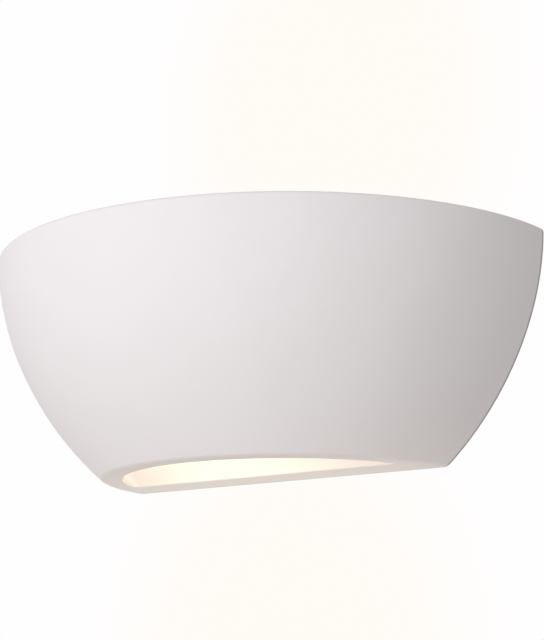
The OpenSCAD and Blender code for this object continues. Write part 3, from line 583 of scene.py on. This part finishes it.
def shade_rows(sizes):
    """The rows of the shade's skin: up the outside, over the rim, down the inside and back along
    the bottom. Each row is (arc radius, height, distance of its straight side from the wall,
    corner radius). The rows are rounded at the rim and at both bottom edges."""
    top, height = SHADE_HIGH[2], SHADE_HIGH[2] - SHADE_LOW[2]
    bottom = top - height
    wall, edge, rim = (v / MM for v in (sizes.shade_wall, sizes.bottom_edge, sizes.rim_edge))
    ease, lip = 1.4, 0.5                  # roundings of the two edges of the flat underside
    outer_corner, inner_corner = 0.8, 3
    rows = []

    def add_rows(*columns):
        """Adds rows from their four columns, each an array or one value for all."""
        rows.append(np.stack(np.broadcast_arrays(*columns), 1))

    # Outer bottom edge: an arc from the flat underside to the bowl's curve
    radius, slope = bowl_curve(height, sizes, sizes.bowl_exponent)
    lean = math.atan(-slope)
    trim = edge * math.tan((math.pi / 2 - lean) / 2)
    angle = np.linspace(-math.pi / 2, -lean, 9)
    share = (angle + math.pi / 2) / (math.pi / 2 - lean)
    add_rows(radius - trim + edge * np.cos(angle), bottom + edge + edge * np.sin(angle),
             ease * (1 - share), outer_corner)
    # Outside of the bowl
    depth = np.linspace(height - trim * math.cos(lean), rim, 76)[1:]
    add_rows(bowl_curve(depth, sizes, sizes.bowl_exponent)[0], top - depth, 0, outer_corner)
    # Outer edge of the rim, then its inner edge
    angle = np.linspace(0, math.pi / 2, 7)[1:]
    radius = bowl_curve(rim, sizes, sizes.bowl_exponent)[0] - rim
    add_rows(radius + rim * np.cos(angle), top - rim + rim * np.sin(angle),
             rim * (1 - np.cos(angle)), outer_corner)
    angle = np.linspace(math.pi / 2, math.pi, 7)
    radius = sizes.bowl_radius / MM - wall + rim
    add_rows(radius + rim * np.cos(angle), top - rim + rim * np.sin(angle),
             REAR_FACE - rim - rim * np.cos(angle), inner_corner)
    # Inside of the bowl: the core's curve moved in square to itself
    depth = np.linspace(rim, height + wall, 140)
    radius, slope = bowl_curve(depth, sizes, sizes.hollow_exponent)
    stretch = np.sqrt(1 + slope ** 2)
    radius, level = radius - wall / stretch, top - depth - wall * slope / stretch
    radius_in, lean_in = (float(np.interp(bottom, level[::-1], value[::-1]))
                          for value in (radius, np.arctan(-slope)))
    cut = lip * math.tan((math.pi / 2 + lean_in) / 2)
    keep = (level < top - rim - 0.5) & (level > bottom + cut * math.cos(lean_in) + 0.3)
    add_rows(radius[keep], level[keep], REAR_FACE, inner_corner)
    # Inner bottom edge: an arc from the inside to the flat underside
    angle = np.linspace(math.pi - lean_in, math.pi * 1.5, 8)
    add_rows(radius_in + cut + lip * np.cos(angle), bottom + lip + lip * np.sin(angle),
             REAR_FACE - lip * np.linspace(0, 1, 8) ** 2, inner_corner)
    return np.vstack(rows)


def eased_stations(radius, steps=5):
    """Stations for a cutter through the rear wall, flared by a radius at both of its faces."""
    angle = np.linspace(0, math.pi / 2, steps)
    stations = [(-2, radius + 0.01), *zip(radius * (1 - np.cos(angle)),
                                          radius * (1 - np.sin(angle)))]
    return ([(POCKET_DEPTH + into, out) for into, out in stations]
            + [(REAR_FACE - into, out) for into, out in stations[::-1]])


def cutter(name, outline, outward, stations):
    """A closed solid to be cut out of another mesh: an outline in the plane of the wall carried
    towards the room. Stations are (distance from the wall, how far the outline has moved along
    its outward directions there)."""
    distance, out = np.array(stations).T[:, :, None]
    x, z = (outline[:, k] + outward[:, k] * out for k in (0, 1))
    grid = np.stack([x, 0 * x - distance, z], -1)
    ends = [np.repeat(row.mean(0)[None, None], len(outline), 1) for row in grid[[0, -1]]]
    closed = np.concatenate([ends[0], grid, ends[1]])
    solid = bpy.data.objects.new(name, mesh_of(name, [(closed, False, True)]))
    bpy.context.scene.collection.objects.link(solid)
    return solid


def shade_cutters(sizes):
    """The pocket behind the rear wall, which follows the bowl's inside at each height, the
    window and the two screw holes."""
    level = np.linspace(POCKET_LOW, POCKET_HIGH, 12)
    radius, slope = bowl_curve(SHADE_HIGH[2] - level, sizes, sizes.hollow_exponent)
    inside = radius - sizes.shade_wall / MM * np.sqrt(1 + slope ** 2)
    side = np.sqrt(inside ** 2 - POCKET_DEPTH ** 2)
    outline = np.concatenate([np.stack([side, level], 1), np.stack([-side, level], 1)[::-1]])
    radii = np.zeros(len(outline))
    radii[[0, 11, 12, -1]] = POCKET_CORNER
    outline = round_corners(outline, radii)
    outward = outline - outline.mean(0)
    outward /= np.linalg.norm(outward, axis=1, keepdims=True)
    solids = [cutter("pocket_cutter", outline, outward, [
        (-3, 1.2), (0, 1.2), (0.35, 0.6), (1.2, 0.0), (POCKET_DEPTH - 1.4, 0.0),
        (POCKET_DEPTH - 0.4, -0.4), (POCKET_DEPTH, -1.4)])]
    width, height, corner = WINDOW
    angle = np.linspace(0, math.pi / 2, 8) + math.pi / 2 * np.arange(4)[:, None]
    outward = np.stack([np.cos(angle), np.sin(angle)], -1).reshape(-1, 2)
    middles = np.repeat([(1, 1), (-1, 1), (-1, -1), (1, -1)], 8, 0) * (
        width / 2 - corner, height / 2 - corner)
    solids.append(cutter("window_cutter", middles + corner * outward, outward,
                         eased_stations(1.5)))
    outward = np.stack([np.cos(around(32)), np.sin(around(32))], 1)
    for x in (-SCREW_X, SCREW_X):
        solids.append(cutter("screw_hole_cutter", outward * SCREW_HOLE + (x, 0), outward,
                             eased_stations(0.5)))
    return solids


class UPLIGHTER_OT_shade(bpy.types.Operator):
    """Casts the plaster shade with its rear wall, window and pocket"""

    bl_idname = "uplighter.shade"
    bl_label = "Plaster shade"

    def execute(self, context):
        sizes, colours = context.scene.uplighter_sizes, context.scene.uplighter_colours
        crease = 38             # an edge of the plaster is sharp past this angle, in degrees
        rows = shade_rows(sizes)
        x, y = np.moveaxis(half_disc(rows[:, 0], rows[:, 2], rows[:, 3]), -1, 0)
        z = rows[:, 1][:, None] + 0 * x
        # The sanded surface strays inwards by slow waves that fade out at the flat faces: the
        # sum of three sines of the angle and height moves each point along its radius.
        angle = np.arctan2(y, x)
        stray = sizes.unevenness / MM * (
            np.sin(5 * angle + 0.031 * z) + 0.7 * np.sin(9 * angle - 0.055 * z + 1.7)
            + 0.5 * np.sin(0.11 * z + 3 * angle + 0.6))
        fade = np.clip((-y - 26) / 20, 0, 1) * np.clip(
            (z - SHADE_LOW[2] - 1) / 8, 0, 1) * np.clip((SHADE_HIGH[2] - 2 - z) / 8, 0, 1)
        scale = 1 - np.abs(stray) * fade / np.maximum(np.hypot(x, y), 1)
        skin = np.stack([x * scale, y * scale, z], -1)
        piece = place_piece(mesh_of("plaster_bowl", [(skin, True, True)]), ["plaster_shade"],
                            "plaster", "shade", cast_plaster(colours.plaster), sharp=crease)
        cutters = shade_cutters(sizes)
        for solid in cutters:
            cut = piece.modifiers.new("Cut", "BOOLEAN")
            cut.operation, cut.solver, cut.object = "DIFFERENCE", "EXACT", solid
        graph = context.evaluated_depsgraph_get()
        mesh = bpy.data.meshes.new_from_object(piece.evaluated_get(graph))
        piece.modifiers.clear()
        piece.data = mesh
        mesh.name = "plaster_bowl"
        mesh.shade_smooth()
        mesh.set_sharp_from_angle(angle=math.radians(crease))
        for solid in cutters:
            bpy.data.objects.remove(solid)
        return {"FINISHED"}


# ---------------------------------------------------------------- the stage


def set_out(name, data, place, aim=None):
    """Puts a light or the camera at a place, looking at a point if one is given."""
    thing = bpy.data.objects.new(name, data)
    thing.location = place
    if aim:
        thing.rotation_euler = (Vector(aim) - thing.location).to_track_quat("-Z", "Y").to_euler()
    bpy.context.scene.collection.objects.link(thing)
    return thing


def shown_plain(tree, own, kind, colour=(1, 1, 1, 1), share=1.0):
    """Shows a surface or the world to the camera, to mirrors and through glass as a plain colour
    at strength 1, and lights everything else by its own shader. A share below 1 lets that much
    less of the plain colour through, so that shadows still show."""
    path = add_node(tree, "LightPath").outputs
    seen = path["Is Camera Ray"]
    for name in ("Is Glossy Ray", "Is Transmission Ray"):
        seen = add_node(tree, "Math", {"operation": "MAXIMUM"}, seen, path[name])
    seen = add_node(tree, "Math", {"operation": "MULTIPLY"}, seen, share)
    return add_node(tree, "MixShader", None, seen, own, add_node(tree, kind, None, colour, 1.0))


def stage_plane(name, left, right, bottom, top, lie, material, surface):
    """A rectangle of the stage that shows a surface shader. Lie places its two directions."""
    mesh = bpy.data.meshes.new(name)
    mesh.from_pydata([lie(across, up) for across, up in (
        (left, bottom), (right, bottom), (right, top), (left, top))], [], [(0, 1, 2, 3)])
    plane = bpy.data.objects.new(name, mesh)
    bpy.context.scene.collection.objects.link(plane)
    output = next(n for n in material.node_tree.nodes if n.type == "OUTPUT_MATERIAL")
    set_input(material.node_tree, output.inputs["Surface"], surface)
    mesh.materials.append(material)
    return plane


def make_wall():
    """The wall shows only to the camera, and from behind it is clear, so that the back of the
    light can be seen. The lamp's light on it is a soft warm patch above and below."""
    material, tree, shader = start_material("Painted wall", Roughness=0.9)
    place = add_node(tree, "TexCoord").outputs["Object"]
    patches = []
    for middle, stretch in (((0.03, 0, 0.14), (9.6, 0, 7.4)), ((0.0, 0, -0.17), (9.0, 0, 6.6))):
        away = add_node(tree, "VectorMath", {"operation": "SUBTRACT"}, place, middle)
        away = add_node(tree, "VectorMath", {"operation": "MULTIPLY"}, away, stretch)
        far = add_node(tree, "VectorMath", {"operation": "LENGTH"}, away)
        patches.append(add_node(tree, "MapRange", {"interpolation_type": "SMOOTHERSTEP"},
                                far, 0.25, 1.5, 1.0, 0.0))
    lit = add_node(tree, "Math", {"operation": "MAXIMUM"}, *patches)
    colour = add_node(tree, "Mix", BLEND, lit, linear("#fffeff"), linear("#fffbf5"))
    seen = shown_plain(tree, shader, "Emission", colour)
    behind = add_node(tree, "NewGeometry").outputs["Backfacing"]
    both = add_node(tree, "MixShader", None, behind, seen, add_node(tree, "BsdfTransparent"))
    wall = stage_plane("wall", -2.6, 2.6, FLOOR_LEVEL, 1.4, lambda x, z: (x, WALL_GAP, z),
                       material, both)
    for ray in ("diffuse", "glossy", "transmission", "shadow", "volume_scatter"):
        setattr(wall, "visible_" + ray, False)


def make_floor():
    """A plain pale floor, 1.7 m below the light, as under a real wall light."""
    material, tree, shader = patterned("Painted floor", "#e6e4e1", "#ebe9e6", (12, 2),
                                       Roughness=0.85)
    stage_plane("floor", -40, 40, -40, 40, lambda x, y: (x, y, FLOOR_LEVEL), material,
                shown_plain(tree, shader, "Emission", share=0.95))


def make_world(scene):
    """Soft light from all round, which the camera sees as plain white."""
    world = bpy.data.worlds.new("Studio")
    world.use_nodes = True
    tree = world.node_tree
    tree.nodes.clear()
    soft = add_node(tree, "Background", None, linear("#f6f4f3"), 0.525)
    add_node(tree, "OutputWorld", Surface=shown_plain(tree, soft, "Background"))
    scene.world = world


def make_lamp_light(watts, colour):
    """The lamp's own light comes from a ball just outside its globe."""
    data = bpy.data.lights.new("Lamp light", "POINT")
    data.energy, data.color, data.use_soft_falloff = watts, colour, False
    data.shadow_soft_size = float(GLOBE_HIGH[1] - GLOBE_LOW[1]) / 2 * MM + 0.0006
    centre = (GLOBE_LOW + GLOBE_HIGH) / 2 * MM
    light = set_out("Lamp light", data, (float(GLOBE_LOW[0]) * MM + data.shadow_soft_size,
                                         centre[1], centre[2]))
    light.visible_camera = light.visible_glossy = False


class UPLIGHTER_OT_stage(bpy.types.Operator):
    """Sets the wall, the floor, the studio light, the lamp's light and the camera"""

    bl_idname = "uplighter.stage"
    bl_label = "Wall, floor, light and camera"

    def execute(self, context):
        scene, studio = context.scene, (1, 0.99, 1)
        warm = scene.uplighter_colours.lamplight
        scene.view_settings.view_transform = "Standard"
        make_wall()
        make_floor()
        make_world(scene)
        for name, place, aim, size, watts, colour in (
                ("Key light", (-0.35, -3.0, 0.3), (0, -0.05, 0), (1.6, 1.6), 48.0, studio),
                ("Side light", (2.9, -1.35, -1.2), (0, -0.05, 0), (2, 2), 6.6, studio),
                ("Light off the wall", (-0.015, -0.012, -0.125), (-0.015, -0.09, -0.05),
                 (0.23, 0.12), 0.0435, warm),
                ("Light off the bowl", (0, -0.086, -0.026), (0, -0.02, -0.05),
                 (0.13, 0.018), 0.0452, warm)):
            data = bpy.data.lights.new(name, "AREA")
            data.shape, data.size, data.size_y = "RECTANGLE", *size
            data.energy, data.color = watts, colour
            set_out(name, data, place, aim).visible_camera = False
        make_lamp_light(scene.uplighter_sizes.lamp_watts, warm)
        data = bpy.data.cameras.new("Camera")
        data.lens, data.sensor_width = CAMERA_LENS, CAMERA_SENSOR
        scene.camera = set_out("Camera", data, CAMERA_PLACE, CAMERA_AIM)
        return {"FINISHED"}


# ---------------------------------------------------------------- the fittings


class UPLIGHTER_OT_thumb_screws(bpy.types.Operator):
    """Turns the two fluted thumb screws and their fibre washers"""

    bl_idname = "uplighter.thumb_screws"
    bl_label = "Thumb screws"

    def execute(self, context):
        flutes = context.scene.uplighter_sizes.knob_flutes
        for side in ("left", "right"):
            node, body = "thumb_screw_" + side, side + "_thumb_screw"
            low, high = size_of(node)
            radius, front, tip = (high[0] - low[0]) / 2, -low[1], -high[1]
            # The knob's back stands a hair off the washer, so that they never share a plane.
            back, crest = front - KNOB_GRIP + 0.03, SCREW_RADIUS

            def fluted(r, station, angle):
                """Flutes: a raised cosine of the angle cuts into the grip between its ends."""
                cut = (0.5 - 0.5 * np.cos(flutes * angle)) ** 3 * 0.7
                grip = (np.clip((station - back - 0.8) / 0.5, 0, 1)
                        * np.clip((front - 0.8 - station) / 0.5, 0, 1))
                return r - cut * grip * (r > radius - 0.3)

            knob = np.vstack([[(0, back), (crest + 3.4, back), (crest + 3.6, back + 0.25),
                               (radius - 0.6, back + 0.25), (radius - 0.15, back + 0.4)],
                              straight(radius, np.linspace(back + 0.7, front - 0.7, 18)),
                              [(radius - 0.2, front - 0.3), (radius - 0.7, front),
                               (radius - 2.2, front), (radius - 2.6, front - 0.5),
                               (3.0, front - 0.5), (2.2, front - 0.2), (0, front - 0.1)]])
            first, last = tip + 0.4, back - 0.6
            stations = np.linspace(first, last, int((back - tip) / (SCREW_PITCH / 8)))
            rod = np.vstack([[(0, tip), (crest - 0.5, tip), (crest - 0.1, tip + 0.35)],
                             straight(crest, stations), [(crest, back + 0.5), (0, back + 0.5)]])
            at = ((low[0] + high[0]) / 2, 0, (low[2] + high[2]) / 2)
            mesh = mesh_of(node + "_turned", [
                turned(knob, at, "-Y", flutes * 10, ripple=fluted),
                turned(rod, at, "-Y", 32,
                       ripple=thread(crest, SCREW_THREAD, SCREW_PITCH, first, last))])
            place_piece(mesh, [node], "nickel_steel", body)
        softened("thumb_screw_washers", "fibre_washers", "fibre", 0.15, body="shade")
        return {"FINISHED"}


def make_grommet():
    """A rubber ring with two soft lips that grip the dish between them."""
    low, high = size_of("cable_grommet")
    back, front, lip = -high[1], -low[1], (high[0] - low[0]) / 2
    first, second = back + GROMMET_LIP, front - GROMMET_LIP
    profile = round_corners(
        [(GROMMET_BORE, back), (lip, back), (lip, first), (GROMMET_SEAT, first),
         (GROMMET_SEAT, second), (lip, second), (lip - 0.8, front), (GROMMET_BORE, front)],
        [0.9, 0.9, 0.6, 0.15, 0.15, 0.6, 0.9, 1.2])
    place_piece(mesh_of("grommet_moulded", [turned(profile, (0, 0, 0), "-Y", 96, ring=True)]),
                ["cable_grommet"], "rubber")


class UPLIGHTER_OT_strap(bpy.types.Operator):
    """Presses the wall strap and its bracket, with their nuts, rivets and grommet"""

    bl_idname = "uplighter.strap"
    bl_label = "Wall strap"

    def execute(self, context):
        softened("wall_strap", "pressed_strap", "zinc_steel", 0.25)
        softened("lampholder_bracket", "pressed_bracket", "zinc_steel", 0.25)
        softened("clinch_nuts", "clinch_nuts_turned", "nickel_steel", 0.2)
        softened("bracket_rivets", "rivet_heads", "rivet_aluminium", 0.3, 3)
        make_grommet()
        return {"FINISHED"}


def make_cap_and_skirt():
    """The cap's shoulder narrows to the nipple's boss, and the skirt has a grooved grip."""
    start, end = lamp_stations("lampholder_cap")
    outer = radius_of("lampholder_cap")
    inside = outer - HOLDER_WALL
    corners = [(NIPPLE_SEAT, start), (CAP_BOSS, start), (CAP_BOSS, start + 3.5),
               (outer - 3, start + 7), (outer - 0.8, start + 9.5), (outer, start + 12),
               (outer, end), (inside, end), (inside, start + 12), (inside - 0.8, start + 10),
               (inside - 3.6, start + 8.2), (NIPPLE_SEAT, start + 7.2)]
    rounding = [0.3, 0.6, 1.0, 2.5, 2.0, 1.2, 0.2, 0.2, 1.0, 1.5, 1.0, 0.4]
    turned_on_lamp_axis("cap_moulded", "lampholder_cap", "white_plastic",
                        round_corners(corners, rounding), 120, ring=True)
    start, end = lamp_stations("lampholder_skirt")
    grip = outer + 0.8

    def grooved(radius, station, angle):
        """Grip grooves: a raised cosine of the angle cuts only into the grip ring."""
        return radius - 0.55 * (0.5 - 0.5 * np.cos(40 * angle)) ** 2 * (radius > grip - 0.05)

    profile = np.vstack([
        [(inside, start), (outer - 0.15, start), (outer, start + 0.2), (outer, start + 0.6),
         (grip - 0.3, start + 0.9)],
        straight(grip, np.linspace(start + 1.2, start + 3.8, 5)),
        [(grip - 0.3, start + 4.2), (outer + 0.1, start + 4.8), (outer - 0.02, start + 5.4)],
        round_corners([(outer - 0.3, (start + end) / 2), (outer - 0.6, end), (inside, end),
                       (inside, start + 6)], [0, 0.5, 0.4, 0])])
    turned_on_lamp_axis("skirt_moulded", "lampholder_skirt", "white_plastic", profile, 400,
                        ring=True, ripple=grooved)


def make_nipple_and_nut():
    """A threaded brass nipple, and its six-sided lock nut with turned corners."""
    start, end = lamp_stations("lampholder_nipple")
    outer, bore = radius_of("lampholder_nipple"), NIPPLE_BORE
    first, last = start + 0.5, end - 0.5
    profile = np.vstack([[(bore + 0.3, start), (outer - 0.5, start)],
                         straight(outer, np.linspace(first, last, 97)),
                         [(outer - 0.5, end), (bore + 0.3, end), (bore, end - 0.3),
                          (bore, start + 0.3)]])
    turned_on_lamp_axis("nipple_threaded", "lampholder_nipple", "brass", profile, 64,
                        ring=True,
                        ripple=thread(outer, NIPPLE_THREAD, NIPPLE_PITCH, first, last))
    start, end = lamp_stations("lampholder_lock_nut")

    def six_sided(radius, station, angle):
        """The radius of a hexagon by its angle, less what a cone turns off its corners."""
        side = NUT_FLAT / np.cos((angle + math.pi / 6) % (math.pi / 3) - math.pi / 6)
        cone = NUT_FLAT - 0.15 + 2.2 * np.minimum(station - start, end - station)
        return np.where(radius > outer + 0.8, np.minimum(side, cone), radius)

    profile = np.vstack([[(outer + 0.05, start + 0.4), (outer + 0.4, start)],
                         straight(NUT_FLAT, np.linspace(start, end, 9)),
                         [(outer + 0.4, end), (outer + 0.05, end - 0.4)]])
    turned_on_lamp_axis("lock_nut_turned", "lampholder_lock_nut", "brass", profile, 180,
                        ring=True, ripple=six_sided)


def make_screw_shell():
    """The thread's crests are rolled into the sheet, clear of the lamp's own."""
    start, end = lamp_stations("lampholder_screw_shell")
    inner, flange = SHELL_BORE, radius_of("lampholder_screw_shell")
    up = np.linspace(start + 1.2, end - 0.3, 70)
    profile = np.vstack([[(inner - 0.5, start), (flange, start), (flange, start + SHEET),
                          (inner + SHEET, start + SHEET + 0.4)],
                         straight(inner + SHEET, up), [(inner + SHEET / 2, end)],
                         straight(inner, up[::-1])])
    turned_on_lamp_axis("shell_rolled", "lampholder_screw_shell", "brass", profile, ring=True,
                        ripple=rolled(HOLDER_THREAD, THREAD_PITCH, start + 1, end, inner - 0.3,
                                      flange - 1))


class UPLIGHTER_OT_lampholder(bpy.types.Operator):
    """Moulds the lampholder and fits its threaded nipple, nut, insert and contacts"""

    bl_idname = "uplighter.lampholder"
    bl_label = "Lampholder"

    def execute(self, context):
        make_cap_and_skirt()
        make_nipple_and_nut()
        make_screw_shell()
        softened("lampholder_insert", "insert_pressed", "insert_ceramic", 0.3)
        softened("lampholder_terminals", "holder_terminals", "brass", 0.12)
        softened("lampholder_centre_contact", "sprung_contact", "brass", 0.08)
        return {"FINISHED"}


class UPLIGHTER_OT_terminals(bpy.types.Operator):
    """Fits the terminal block and the earth screw with its tag and washer"""

    bl_idname = "uplighter.terminals"
    bl_label = "Terminal block and earth"

    def execute(self, context):
        for node, name, slot, radius in (
                ("terminal_block", "block_moulded", "clear_plastic", 0.35),
                ("terminal_tubes", "block_tubes", "brass", 0.12),
                ("terminal_clamp_screws", "block_clamp_screws", "nickel_steel", 0.1),
                ("terminal_block_screw", "block_fixing_screw", "nickel_steel", 0.25),
                ("earth_screw", "earth_screw_turned", "brass", 0.4),
                ("earth_washer", "earth_washer_punched", "nickel_steel", 0.12),
                ("earth_tag", "earth_tag_pressed", "tinned_copper", 0.12)):
            softened(node, name, slot, radius, 3)
        return {"FINISHED"}


def lamp_route(pole, side):
    """The construction's own route from a pole, along the strap, through the nipple and to a
    terminal. The live wire, side 1, stays above the neutral wire, side -1."""
    x, high, rise = POLES[pole], 17 + 1.6 * side, side * (WIRE_RADIUS + 0.25)
    return [(x, -7, 5), (x, -7, 9.5), (x + 3, -8, high - 1), (x + 10, -9, high),
            (4, -11, high), (36, -13, high), (54, -15, high - 1.5),
            (69.5, -23, high / 2 + 1 + rise), (71.5, -35, 3 + 1.3 * rise),
            (69.5, -47, 1 + rise), (65.5, -54.5, rise), (60.5, -56, rise),
            (50.5, -56, rise), (45.8, -56, side * 5.4), (44, -56, side * 6.5),
            (43, -56, side * 6.5), (41.5, -56, side * 6.5)]


def earth_route():
    """From the third pole down to the crimp barrel of the earth tag."""
    x = POLES[2]
    return [(x, -7, 5), (x, -7, 9.5), (x + 2.5, -7, 11.5), (x + 8, -7, 12.3),
            (3.1, -5.8, 12.2), (9.6, -3.3, 12), (12.1, -3.2, 12), (15.6, -3.2, 12)]


class UPLIGHTER_OT_wiring(bpy.types.Operator):
    """Runs the live, neutral and earth wires along their routes"""

    bl_idname = "uplighter.wiring"
    bl_label = "Wiring"

    def execute(self, context):
        for node, route, slot in (("live_wire", lamp_route(0, 1), "brown_sleeve"),
                                  ("neutral_wire", lamp_route(1, -1), "blue_sleeve"),
                                  ("earth_wire", earth_route(), "green_sleeve")):
            grid, uv = tube(smooth_path(route, 10), WIRE_RADIUS)
            place_piece(mesh_of(node + "_sleeved", [grid], uv), [node], slot)
        return {"FINISHED"}


def make_screw_cap():
    """Thin sheet with the thread rolled into it, open behind and turned in over the glass."""
    start, end = lamp_stations("lamp_screw_shell")
    crest = radius_of("lamp_screw_shell")
    up = np.linspace(start + 1.4, end - 0.4, 76)
    profile = np.vstack([[(0, start), (crest - 1.3, start), (crest - 0.5, start + 0.5)],
                         straight(crest, up), [(crest - 0.1, end), (crest - SHEET, end)],
                         straight(crest - SHEET, up[::-1]),
                         [(crest - 1.5, start + SHEET), (0, start + SHEET)]])
    turned_on_lamp_axis("cap_rolled", "lamp_screw_shell", "nickel_steel", profile, body="lamp",
                        ripple=rolled(LAMP_THREAD, THREAD_PITCH, start + 1.8, end - 1.2,
                                      crest - 0.45))


def make_housing():
    """The housing flares by a quarter of a sine from the screw cap to the globe, with a
    rounded foot and a fine parting groove near the globe."""
    start, end = lamp_stations("lamp_housing")
    foot = start + 8
    share = np.linspace(0, 1, 60)
    flare = NECK + (radius_of("lamp_housing") - NECK) * np.sin(share * math.pi / 2)
    at = foot + (end - foot) * share
    groove = 0.22 * np.exp(-((at - end + 2.2) / 0.35) ** 2)
    inner = np.maximum(flare - HOUSING_WALL, SPIGOT - 1)
    profile = np.vstack([[(SPIGOT, start), (SPIGOT, foot - 0.02), (NECK - 0.35, foot)],
                         np.stack([flare - groove, at], 1)[1:],
                         np.stack([inner, at], 1)[::-1], [(SPIGOT - 1, start)]])
    turned_on_lamp_axis("housing_moulded", "lamp_housing", "lamp_plastic", profile, 128,
                        "lamp", ring=True)


def make_globe(colour):
    """Two spheres about one centre, joined where the globe meets the housing."""
    start, end = lamp_stations("lamp_globe")
    outer = radius_of("lamp_globe")
    centre = end - outer
    walls = []
    for radius, steps in ((outer, 56), (outer - GLOBE_WALL, 48)):
        angle = np.linspace(0, math.acos((start - centre) / radius), steps)
        walls.append(np.stack([radius * np.sin(angle), centre + radius * np.cos(angle)], 1))
    turned_on_lamp_axis("globe_blown", "lamp_globe", "opal_plastic",
                        np.vstack([walls[0], walls[1][::-1]]), 128, "lamp",
                        opal_polycarbonate(colour))


class UPLIGHTER_OT_lamp(bpy.types.Operator):
    """Makes the screw-in lamp with its lit globe"""

    bl_idname = "uplighter.lamp"
    bl_label = "Lamp"

    def execute(self, context):
        start, end = lamp_stations("lamp_contact")
        turned_on_lamp_axis("contact_soldered", "lamp_contact", "nickel_steel", [
            (0, start), (1.2, start), (2.0, start + 0.35), (2.35, start + 0.9), (2.4, end),
            (0, end)], body="lamp")
        start, end = lamp_stations("lamp_insulator")
        wide = radius_of("lamp_insulator")
        turned_on_lamp_axis("insulator_fused", "lamp_insulator", "black_plastic", [
            (0, start), (3, start), (3.5, start + 0.25), (wide - 0.3, end - 0.25), (wide, end),
            (0, end)], body="lamp")
        make_screw_cap()
        make_housing()
        make_globe(context.scene.uplighter_colours.lamplight)
        softened("lamp_led_board", "diode_disc", "rivet_aluminium", 0.15, body="lamp")
        softened("lamp_diodes", "diodes_cast", "diode", 0.15, body="lamp")
        softened("lamp_driver_board", "driver_assembled", "board", 0.15, body="lamp")
        return {"FINISHED"}


# ---------------------------------------------------------------- the add-on


class UPLIGHTER_PT_panel(bpy.types.Panel):
    """Sizes, colours and the order in which the light is built"""

    bl_idname = "UPLIGHTER_PT_panel"
    bl_label = "Plaster Uplighter"
    bl_space_type = "VIEW_3D"
    bl_region_type = "UI"
    bl_category = "Uplighter"

    def draw(self, context):
        column = self.layout.column()
        for group in (context.scene.uplighter_sizes, context.scene.uplighter_colours):
            for name in group.__annotations__:
                column.prop(group, name)
        for operator in STEPS:
            column.operator(operator.bl_idname)


STEPS = [UPLIGHTER_OT_stage, UPLIGHTER_OT_shade, UPLIGHTER_OT_thumb_screws, UPLIGHTER_OT_strap,
         UPLIGHTER_OT_lampholder, UPLIGHTER_OT_terminals, UPLIGHTER_OT_wiring, UPLIGHTER_OT_lamp]
CLASSES = [UplighterSizes, UplighterColours, *STEPS, UPLIGHTER_PT_panel]


def register():
    for cls in CLASSES:
        bpy.utils.register_class(cls)
    bpy.types.Scene.uplighter_sizes = PointerProperty(type=UplighterSizes)
    bpy.types.Scene.uplighter_colours = PointerProperty(type=UplighterColours)


def unregister():
    del bpy.types.Scene.uplighter_colours
    del bpy.types.Scene.uplighter_sizes
    for cls in reversed(CLASSES):
        bpy.utils.unregister_class(cls)


def main():
    register()
    bpy.ops.uplighter.stage()
    bpy.ops.uplighter.shade()
    bpy.ops.uplighter.thumb_screws()
    bpy.ops.uplighter.strap()
    bpy.ops.uplighter.lampholder()
    bpy.ops.uplighter.terminals()
    bpy.ops.uplighter.wiring()
    bpy.ops.uplighter.lamp()


if __name__ == "__main__":
    main()
